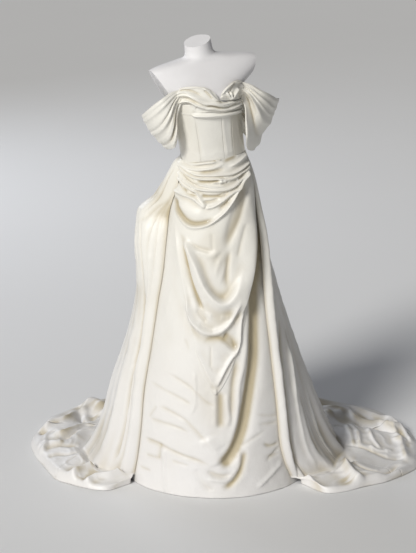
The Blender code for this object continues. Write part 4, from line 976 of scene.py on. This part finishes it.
def trainPoints(share, points, fromEdge, reach):  # the cloth that lies on the floor, reach being 1 at its outline
    dial = trainDial
    outline = np.stack([valueAt(trainOutline, share), valueAt(trainOutline, share, 2)], axis=-1)
    flat = np.concatenate([outline, np.full_like(outline[..., :1], clothDial["hem"])], axis=-1)
    waves = dial["hemWave"] * grain(flat, dial["hemWaveSize"]) * smooth(fromEdge / dial["hemWaveFade"])
    flat[..., :2] *= 1 + waves[..., None]
    lying = points + (flat - points) * reach[..., None]
    lying[..., 2] = clothDial["hem"] + (points[..., 2] - clothDial["hem"]) * (1 - reach) ** dial["sweep"]
    rounded = 1 - np.clip((reach - 1 + dial["foldEnd"]) / dial["foldEnd"], 0, 1) ** 3
    lift = dial["puff"] + floorLift(lying[..., 0], lying[..., 1]) + foldField(lying[..., :2], trainFolds)
    size = dial["crumpleSize"]
    lift += dial["crumple"] * (dial["crumpleGrain"] * grain(lying, size) + ridges(lying, size))
    lift = evened(np.maximum(lift, 0)[..., None], dial["evenRounds"])[..., 0]
    lying[..., 2] += smooth(reach / dial["foldStart"]) * rounded * lift
    return lying


def overskirtPoints(share, drop):  # drop goes from 0 at the waist to 1 at the foot and 2 at the train's outline
    dial = overskirtDial
    onLeft = share <= 0.5
    foot, sewn = overskirtRows[0][0], overskirtRows[-1][0]
    most, over = dial["sideShares"]
    top = sewn + dial["sideRise"] * smooth((most - share) / over)
    height = top + (foot - top) * np.minimum(drop, 1)
    level = height - (top - sewn) * rising(height, (dial["riseFrom"], top))
    edge = np.where(onLeft, *section(overskirtSides, level))
    bearing = edge + (np.where(onLeft, -180, 180) - edge) * (1 - np.abs(2 * share - 1))
    fromEdge = np.radians(np.abs(bearing - edge)) * section(skirtRows, height)[1]
    grown = smooth((top - height) / np.where(onLeft, *dial["rollStart"]))
    turned = np.clip(fromEdge / dial["rollWidth"], 0, 1)
    roll = np.where(onLeft, *dial["rollHeight"]) * grown * np.sin(np.pi * turned)
    spots = np.stack([share * dial["shareSize"], height], axis=-1)
    out = along(roundShares, np.stack(section(overskirtRows, level)), share) + uprightLift(share, height) + roll
    edgeFade, topFade = dial["foldFade"]
    out += foldField(spots, hangingFolds) * smooth(fromEdge / edgeFade) * smooth((top - height) / topFade)
    points = skirtPoints(bearing, height, clothDial["layer"] + np.maximum(out, 0))
    broad, fine = dial["rumpleSizes"]
    rumple = dial["rumple"] * (grain(points, broad) + dial["rumpleRidges"] * ridges(points, fine))
    out += rumple * smooth(fromEdge / dial["rumpleFade"]) * grown
    points = skirtPoints(bearing, height, clothDial["layer"] + np.maximum(out, 0))
    # painted shade along the front edge and along the hanging folds
    shade = dial["edgePaintedShade"] * np.exp(-((fromEdge / dial["edgeShadeWidth"]) ** 2)) * grown
    shade += foldField(spots, hangingFolds, "paintedShade")
    lying = trainPoints(share, points, fromEdge, np.maximum(drop - 1, 0))
    return np.where((drop > 1)[..., None], lying, points), shade * (drop <= 1)


def gore(name, node, first, last, columns, flat, area):
    drops = gathered(((0.0, 0), (0.25, 36), (1.0, 100), (1.35, 56), (2.0, 92)), 270)
    drop, share = grid(drops, np.linspace(first, last, columns))
    piece = clothPiece(name, node, *overskirtPoints(share, drop))


for row in (
    ("frontLeftOverskirtCloth", "overskirt_front_left", 0.0, 0.14, 84, (0.34, 1.38), 0.26),
    ("leftSideTrainCloth", "train_side_left", 0.14, 0.31, 76, (0.46, 1.62), 0.40),
    ("leftBackTrainCloth", "train_back_left", 0.31, 0.50, 60, (0.62, 1.95), 0.58),
    ("rightBackTrainCloth", "train_back_right", 0.50, 0.69, 60, (0.64, 1.95), 0.62),
    ("rightSideTrainCloth", "train_side_right", 0.69, 0.86, 76, (0.48, 1.62), 0.42),
    ("frontRightOverskirtCloth", "overskirt_front_right", 0.86, 1.0, 84, (0.34, 1.38), 0.26),
):
    gore(*row)
print("overskirt and train made")

# bodice

bodiceDial = {
    "rows": 40,
    "low": 0.0006,  # above the waist
    "degree": 0.0021,  # metres round the body
}
bodiceTop = ((-180, 1.335), (-100, 1.352), (-60, 1.368), (0, 1.350), (60, 1.368), (100, 1.352), (180, 1.335))
bodicePaintedShade = (  # painted shade on the bodice's sides: bearing where it starts and over how many degrees, the same where it ends, how strong
    (14, 14, 70, 25, 0.30),
    (-90, 20, -30, 20, 0.10),
)
bodiceFolds = (  # millimetres round from the front, height
    # the turns of the boned panels
    fold(3.4, (20, 20), (16.8, 1330), (18.9, 1250), (23.1, 1160), power=1, ends=(0.05, 0.1)),
    fold(2.6, (18, 18), (46.2, 1330), (44.1, 1250), (42, 1160), power=1, ends=(0.05, 0.1)),
    fold(2.2, (20, 20), (-79.8, 1330), (-71.4, 1250), (-58.8, 1160), power=1, ends=(0.05, 0.1)),
    # small pulls beside the waist
    fold(1.2, (5, 4), (-126, 1200), (-94.5, 1185), (-63, 1182)),
    fold(1, (4, 4), (-42, 1178), (-12.6, 1186), (8.4, 1182)),
    fold(1.6, (8, 6), (-138.6, 1300), (-130.2, 1240), (-121.8, 1200)),
    fold(1.6, (8, 6), (84, 1290), (92.4, 1230), (109.2, 1180)),
    fold(1.6, (10, 8), (315, 1300), (306.6, 1230), (315, 1170)),
    fold(1.6, (10, 8), (-315, 1300), (-302.4, 1230), (-310.8, 1170)),
)


def bodySpots(bearing, height):
    return np.stack([bearing * bodiceDial["degree"], height], axis=-1)


def bodicePanel(name, node, first, last, columns, flat):
    share, bearing = grid(np.linspace(1, 0, bodiceDial["rows"]), np.linspace(first, last, columns))
    low = waist[2] + bodiceDial["low"]
    height = low + (valueAt(bodiceTop, bearing) - low) * share
    points = bodyPoints(bearing, height, foldField(bodySpots(bearing, height), bodiceFolds))
    # painted shade on the sides of the bodice
    shade = sum(
        paintedWarmShade * smooth((bearing - start) / rise) * smooth((end - bearing) / fall)
        for start, rise, end, fall, paintedWarmShade in bodicePaintedShade
    )
    piece = clothPiece(name, node, points, shade)


for row in (
    ("bodiceFrontLeft", "bodice_front_left", -38, 5, 34, (0.090, 0.200)),
    ("bodiceFrontRight", "bodice_front_right", 5, 24, 18, (0.042, 0.200)),
    ("bodiceSideLeft", "bodice_side_left", -100, -38, 40, (0.125, 0.210)),
    ("bodiceSideRight", "bodice_side_right", 24, 100, 46, (0.150, 0.210)),
    ("bodiceBackLeft", "bodice_back_left", -180, -100, 40, (0.150, 0.195)),
    ("bodiceBackRight", "bodice_back_right", 100, 180, 40, (0.150, 0.195)),
):
    bodicePanel(*row)
print("bodice made")

# pleated drapes over the bust

bustDial = {
    "relief": 1.5,
    "deepest": -0.004,
    "edge": 0.06,  # share of the width over which the folds die away at the edges
    "swell": 0.55,
    "swellFade": 0.5,
    "clear": 0.0037,  # from the chest of the form
    "chestRelief": 0.6,  # of the folds that is left there
}
leftBust = (  # bearing, top height, bottom height, fullness
    (-62, 1.412, 1.366, 0.002),
    (-52, 1.423, 1.368, 0.007),
    (-44, 1.427, 1.365, 0.010),
    (-36, 1.428, 1.340, 0.012),
    (-22, 1.424, 1.334, 0.013),
    (-11, 1.415, 1.330, 0.013),
    (-4, 1.400, 1.326, 0.012),
    (5, 1.366, 1.321, 0.009),
    (25, 1.352, 1.317, 0.007),
    (45, 1.347, 1.313, 0.005),
    (62, 1.344, 1.309, 0.001),
)
rightBust = (
    (6, 1.374, 1.3675, 0.002),
    (10, 1.390, 1.3645, 0.005),
    (16, 1.402, 1.3595, 0.009),
    (24, 1.411, 1.3540, 0.012),
    (33, 1.416, 1.3510, 0.013),
    (42, 1.414, 1.3490, 0.010),
    (52, 1.409, 1.3475, 0.006),
    (62, 1.404, 1.3460, 0.001),
)
underbust = (
    (-62, 1.3400, 1.3320, 0.001),
    (-44, 1.3340, 1.3260, 0.002),
    (-37, 1.3380, 1.3170, 0.005),
    (-22, 1.3325, 1.3100, 0.006),
    (-11, 1.3285, 1.3065, 0.006),
    (5, 1.3195, 1.3040, 0.006),
    (25, 1.3155, 1.3025, 0.005),
    (45, 1.3115, 1.2970, 0.004),
    (62, 1.3075, 1.2940, 0.001),
)
bustFolds = (  # millimetres round from the front, height
    # over the left bust and on to the right under the knot
    fold(3, (3, 3), (-126, 1409), (-105, 1420), (-73.5, 1424), (-44.1, 1421), (-25.2, 1412), (-10.5, 1399)),
    fold(-4, (3, 4), (-119.7, 1415), (-96.6, 1418), (-75.6, 1415), (-56.7, 1404), (-42, 1388), ends=(0.1, 0.3)),
    fold(6, (6, 4), (-130.2, 1404), (-98.7, 1412), (-79.8, 1407), (-65.1, 1395), (-48.3, 1383), (-25.2, 1367),
         ends=(0.05, 0.3)),
    fold(7, (6, 3), (-130.2, 1393), (-100.8, 1401), (-79.8, 1396), (-60.9, 1381), (-42, 1365), (-12.6, 1356),
         (10.5, 1348), (33.6, 1340), (84, 1334), ends=(0.05, 0.3)),
    fold(-6, (4, 4), (-130.2, 1384), (-111.3, 1390), (-92.4, 1387), (-73.5, 1377), (-54.6, 1363), ends=(0.05, 0.3)),
    fold(8, (6, 3), (-130.2, 1368), (-107.1, 1378), (-84, 1376), (-67.2, 1364), (-48.3, 1351), (-29.4, 1342),
         (0, 1336), ends=(0.05, 0.4)),
    fold(-5, (6, 6), (-71.4, 1354), (-56.7, 1344), (-37.8, 1340)),
    fold(5, (4, 3), (-35.7, 1419), (-21, 1401), (-8.4, 1379), (10.5, 1357)),
    fold(-3, (3, 3), (-33.6, 1411), (-23.1, 1394), (-12.6, 1374)),
    fold(-5, (3, 3), (-37.8, 1357), (-16.8, 1353), (6.3, 1341), (33.6, 1336), (54.6, 1337), (94.5, 1340)),
    fold(6, (4, 3), (-46.2, 1347), (-21, 1343), (4.2, 1333), (33.6, 1328), (58.8, 1327), (94.5, 1330), (126, 1332),
         ends=(0.2, 0.1)),
    fold(-3, (3, 2), (-4.2, 1366), (14.7, 1359), (42, 1351)),
    fold(4, (3, 3), (10.5, 1352), (50.4, 1347), (84, 1343), (126, 1340), ends=(0.2, 0.1)),
    # the roll under the bust
    fold(6, (6, 6), (-92.4, 1326), (-75.6, 1325), (-44.1, 1320), (-12.6, 1316), (10.5, 1313), (35.7, 1311),
         (67.2, 1308), (126, 1302), power=2, ends=(0.15, 0.1)),
    # the right bust, drawn together at its knot
    fold(4, (3, 4), (14.7, 1382), (33.6, 1398), (50.4, 1407), (69.3, 1412), (88.2, 1410), (126, 1400),
         ends=(0.1, 0.1)),
    fold(5, (3, 3), (33.6, 1392), (42, 1374), (50.4, 1358), ends=(0.3, 0.05)),
    fold(6, (3, 3), (46.2, 1396), (50.4, 1376), (52.5, 1358), ends=(0.3, 0.05)),
    fold(-6, (3, 4), (73.5, 1412), (56.7, 1397), (42, 1377)),
    fold(8, (4, 4), (88.2, 1392), (69.3, 1378), (54.6, 1359), ends=(0.3, 0.05)),
    fold(-5, (4, 4), (92.4, 1386), (102.9, 1366), (111.3, 1352)),
    fold(7, (5, 5), (100.8, 1403), (117.6, 1380), (128.1, 1356), ends=(0.3, 0.05)),
    fold(3, (2, 3), (14.7, 1378), (29.4, 1370), (46.2, 1359)),
)


def bustDrape(name, node, table, rows, columns):
    share, bearing = grid(np.linspace(0, 1, rows), np.linspace(table[0][0], table[-1][0], columns))
    top, bottom, full = section(table, bearing)
    height = top + (bottom - top) * share
    edge = smooth(share / bustDial["edge"]) * smooth((1 - share) / bustDial["edge"])
    folds = bustDial["relief"] * foldField(bodySpots(bearing, height), bustFolds) * edge
    swell = bustDial["swell"] * full * smooth((1 - share) / bustDial["swellFade"])
    out = clothDial["layer"] + swell + np.maximum(folds, bustDial["deepest"])
    halfWidth, front, back = section(bodyRows, height)
    x, y = oval(bearing, halfWidth + out, front + out, back + out)
    formWidth, formFront, _ = section(formRows, height)
    chest = -formFront * np.sqrt(np.maximum(1 - (x / formWidth) ** 2, 0))
    y = np.minimum(y, chest - bustDial["clear"] - bustDial["chestRelief"] * np.maximum(folds, 0))
    piece = clothPiece(name, node, placed(x, y, height, 1.0))


bustDrape("leftBustDrape", "bust_drape_left", leftBust, 76, 150)
bustDrape("rightBustDrape", "bust_drape_right", rightBust, 56, 70)
bustDrape("underbustRoll", "underbust_band", underbust, 24, 140)
print("bust drapes made")

# off-shoulder sleeves

sleeveDial = {
    "rows": 62,
    "columns": 120,
    "armAxis": 0.16,
    "swell": 0.010,
    "pleatEnds": 0.4,  # how much of a pleat's height is left where it is sewn in
    "pleatRise": 0.15,  # share of the way to the outside of the arm over which it grows
    "pleatOuter": 0.6,  # how much it has lost at the outside of the arm
    "power": 1.6,
}
leftSleeve = (  # top edge x, y, height, then the lower edge, from the front of the arm round to the back
    (0.1080, -0.0690, 1.419, 0.1060, -0.0660, 1.370),
    (0.1400, -0.0740, 1.416, 0.1330, -0.0660, 1.318),
    (0.1720, -0.0800, 1.405, 0.1390, -0.0700, 1.266),
    (0.2000, -0.0680, 1.388, 0.1490, -0.0660, 1.232),
    (0.2220, -0.0400, 1.366, 0.1570, -0.0450, 1.220),
    (0.2300, 0.0000, 1.346, 0.1620, -0.0050, 1.214),
    (0.2120, 0.0400, 1.336, 0.1600, 0.0360, 1.216),
    (0.1800, 0.0660, 1.322, 0.1500, 0.0600, 1.224),
    (0.1480, 0.0740, 1.318, 0.1380, 0.0680, 1.244),
    (0.1260, 0.0600, 1.326, 0.1240, 0.0560, 1.274),
    (0.1129, 0.0405, 1.340, 0.1107, 0.0400, 1.312),
)
rightSleeve = (
    (0.1100, -0.0700, 1.404, 0.1060, -0.0660, 1.338),
    (0.1460, -0.0740, 1.386, 0.1110, -0.0800, 1.314),
    (0.1780, -0.0760, 1.360, 0.1030, -0.0890, 1.268),
    (0.2130, -0.0600, 1.336, 0.0990, -0.0840, 1.206),
    (0.2440, -0.0300, 1.312, 0.1100, -0.0560, 1.164),
    (0.2690, 0.0100, 1.298, 0.1500, -0.0100, 1.146),
    (0.2560, 0.0480, 1.276, 0.1600, 0.0340, 1.160),
    (0.2140, 0.0760, 1.264, 0.1520, 0.0600, 1.180),
    (0.1680, 0.0820, 1.296, 0.1400, 0.0680, 1.206),
    (0.1300, 0.0640, 1.326, 0.1240, 0.0580, 1.256),
    (0.1129, 0.0405, 1.340, 0.1107, 0.0400, 1.312),
)
leftPleats = (  # share of the way down at the bust, the same at the outside, height, width above and below
    (0.06, 0.06, 0.003, 0.03, 0.03),
    (0.15, 0.18, 0.006, 0.06, 0.04),
    (0.27, 0.40, 0.005, 0.09, 0.05),
    (0.38, 0.55, 0.009, 0.08, 0.04),
    (0.50, 0.74, 0.004, 0.03, 0.04),
    (0.60, 0.80, 0.008, 0.06, 0.035),
    (0.82, 0.94, 0.010, 0.07, 0.06),
    (0.31, 0.47, -0.005, 0.025, 0.04),
    (0.70, 0.88, -0.008, 0.04, 0.02),
)
rightPleats = (
    (0.05, 0.06, 0.005, 0.03, 0.04),
    (0.18, 0.20, 0.007, 0.04, 0.03),
    (0.30, 0.33, 0.004, 0.03, 0.02),
    (0.42, 0.50, 0.012, 0.08, 0.05),
    (0.64, 0.70, -0.020, 0.11, 0.09),
    (0.93, 0.90, 0.014, 0.07, 0.14),
)


def sleeve(name, node, table, pleats, side):
    across, share = grid(np.linspace(0, 1, sleeveDial["rows"]), np.linspace(0, 1, sleeveDial["columns"]))
    places = np.linspace(0, 1, len(table))
    columns = np.stack([along(places, column(table, index), share) for index in range(6)], axis=-1)
    top, low = columns[..., :3], columns[..., 3:]
    x, y, z = np.moveaxis(top + (low - top) * across[..., None], -1, 0)
    away = np.stack([x - sleeveDial["armAxis"], y], axis=-1)
    away /= np.linalg.norm(away, axis=-1, keepdims=True)
    outer = smooth(1 - np.abs(2 * share - 1))  # 0 on the body, 1 at the outside of the arm
    sewn = sleeveDial["pleatEnds"]
    grown = sewn + (1 - sewn) * smooth(outer / sleeveDial["pleatRise"])
    strength = grown * (1 - sleeveDial["pleatOuter"] * outer**3)
    push = sleeveDial["swell"] * np.sin(np.pi * share) * np.sin(np.pi * across)
    for start, end, high, above, below in pleats:
        off = across - (start + (end - start) * outer)
        push += high * strength * np.exp(-(np.abs(off) / np.where(off < 0, above, below)) ** sleeveDial["power"])
    points = placed(side * (x + away[..., 0] * push), y + away[..., 1] * push, z, 1.0)
    piece = clothPiece(name, node, points if side > 0 else points[:, ::-1])


sleeve("leftSleeveCloth", "sleeve_left", leftSleeve, leftPleats, -1)
sleeve("rightSleeveCloth", "sleeve_right", rightSleeve, rightPleats, 1)
print("sleeves made")

# buttons down the back

buttonDial = {
    "count": 11,
    "radius": 0.0050,
    "half": 0.0026,  # half the thickness
    "sides": 24,
    "bearing": 176.8,
    "first": 1.172,
    "last": 1.322,
    "seat": 0.0013,
}
buttonProfile = (  # across and up, as shares of the radius and of half the thickness
    (0, 1), (0.35, 0.94), (0.62, 0.78), (0.86, 0.48), (0.98, 0.12),
    (1.0, -0.15), (0.94, -0.5), (0.78, -0.85), (0.55, -1), (0, -1),
)


def button(number, height):
    name = "coveredButton%02d" % number
    sides, bearing = buttonDial["sides"], buttonDial["bearing"]
    middle = Vector(bodyPoints(bearing, height, buttonDial["seat"] + buttonDial["half"]))
    outward = (middle - Vector(bodyPoints(bearing, height))).normalized()
    mesh = bmesh.new()
    rings = []
    for across, up in buttonProfile:
        radius = across * buttonDial["radius"]
        angles = [2 * math.pi * k / sides for k in range(sides if across else 1)]
        rings.append([
            mesh.verts.new((radius * math.cos(angle), radius * math.sin(angle), up * buttonDial["half"]))
            for angle in angles
        ])
    for upper, lower in zip(rings, rings[1:]):
        for k in range(sides):
            after = (k + 1) % sides
            ring = (upper[k % len(upper)], lower[k % len(lower)], lower[after % len(lower)], upper[after % len(upper)])
            mesh.faces.new(tuple(dict.fromkeys(ring)))
    bmesh.ops.recalc_face_normals(mesh, faces=mesh.faces)
    mesh.transform(Matrix.Translation(middle) @ outward.to_track_quat("Z", "Y").to_matrix().to_4x4())
    made = bpy.data.meshes.new(name)
    mesh.to_mesh(made)
    mesh.free()
    pieceFromMesh(name, made, "back_button_%02d" % number, satin)


for number, height in enumerate(np.linspace(buttonDial["first"], buttonDial["last"], buttonDial["count"]), start=1):
    button(number, height)
print("buttons made")

# floor, light and camera

studioDial = {
    "floorSide": 30.0,
    "floorColour": (0.80, 0.80, 0.80, 1),
    "floorPatch": (0.768, 0.768, 0.768, 1),
    "world": (0.80, 0.81, 0.84, 1),
    "worldStrength": 0.13,
    "aim": (0.0, 0.0, 0.8),  # of the lights
}
lights = (  # name, kind, place, angle or size, power, colour
    ("keyLight", "SUN", (-3.2, -4.9, 4.7), 0.30, 2.6, (1.0, 0.985, 0.955)),
    ("frontFill", "AREA", (-0.8, -6.4, 1.8), 1.6, 30, (0.97, 0.98, 1.0)),
    ("backLight", "AREA", (-3.0, 4.5, 3.0), 2.4, 80, (0.85, 0.9, 1.0)),
)
cameraDial = {
    "lens": 130.3,
    "sensor": 36,
    "distance": 7.0,
    "rise": 17.0,
    "target": (-0.026, 0.0, 0.72),
}


def put(name, data, place, target):  # something that looks from its place at the target
    made = bpy.data.objects.new(name, data)
    bpy.context.scene.collection.objects.link(made)
    made.location = place
    made.rotation_mode = "QUATERNION"
    made.rotation_quaternion = (Vector(target) - Vector(place)).to_track_quat("-Z", "Y")
    return made


def studioFloor():
    mesh = bpy.data.meshes.new("studioFloor")
    half = studioDial["floorSide"] / 2
    mesh.from_pydata([(-half, -half, 0), (half, -half, 0), (half, half, 0), (-half, half, 0)], [], [(0, 1, 2, 3)])
    finish = Finish("paleFloor", Roughness=0.8, Specular_IOR_Level=0.2)
    patch = 0.5 * finish.noise(finish.places(), 0.8)
    finish.link(finish.mix(patch, studioDial["floorColour"], studioDial["floorPatch"]), "Base Color")
    mesh.materials.append(finish.material)
    floor = bpy.data.objects.new("studioFloor", mesh)
    bpy.context.scene.collection.objects.link(floor)


def studio():
    world = bpy.data.worlds.new("studioWorld")
    world.use_nodes = True
    background = world.node_tree.nodes["Background"]
    background.inputs["Color"].default_value = studioDial["world"]
    background.inputs["Strength"].default_value = studioDial["worldStrength"]
    bpy.context.scene.world = world
    bpy.context.scene.view_settings.view_transform = "Standard"
    for name, kind, place, size, power, colour in lights:
        lamp = bpy.data.lights.new(name, kind)
        setattr(lamp, "angle" if kind == "SUN" else "size", size)
        lamp.energy = power
        lamp.color = colour
        put(name, lamp, place, studioDial["aim"])


def camera():
    rise = math.radians(cameraDial["rise"])
    target = Vector(cameraDial["target"])
    made = bpy.data.cameras.new("frontCamera")
    made.lens = cameraDial["lens"]
    made.sensor_fit = "VERTICAL"
    made.sensor_height = cameraDial["sensor"]
    made.clip_end = 100
    place = target + cameraDial["distance"] * Vector((0, -math.cos(rise), math.sin(rise)))
    bpy.context.scene.camera = put("frontCamera", made, place, target)


studioFloor()
studio()
camera()
print("studio ready")
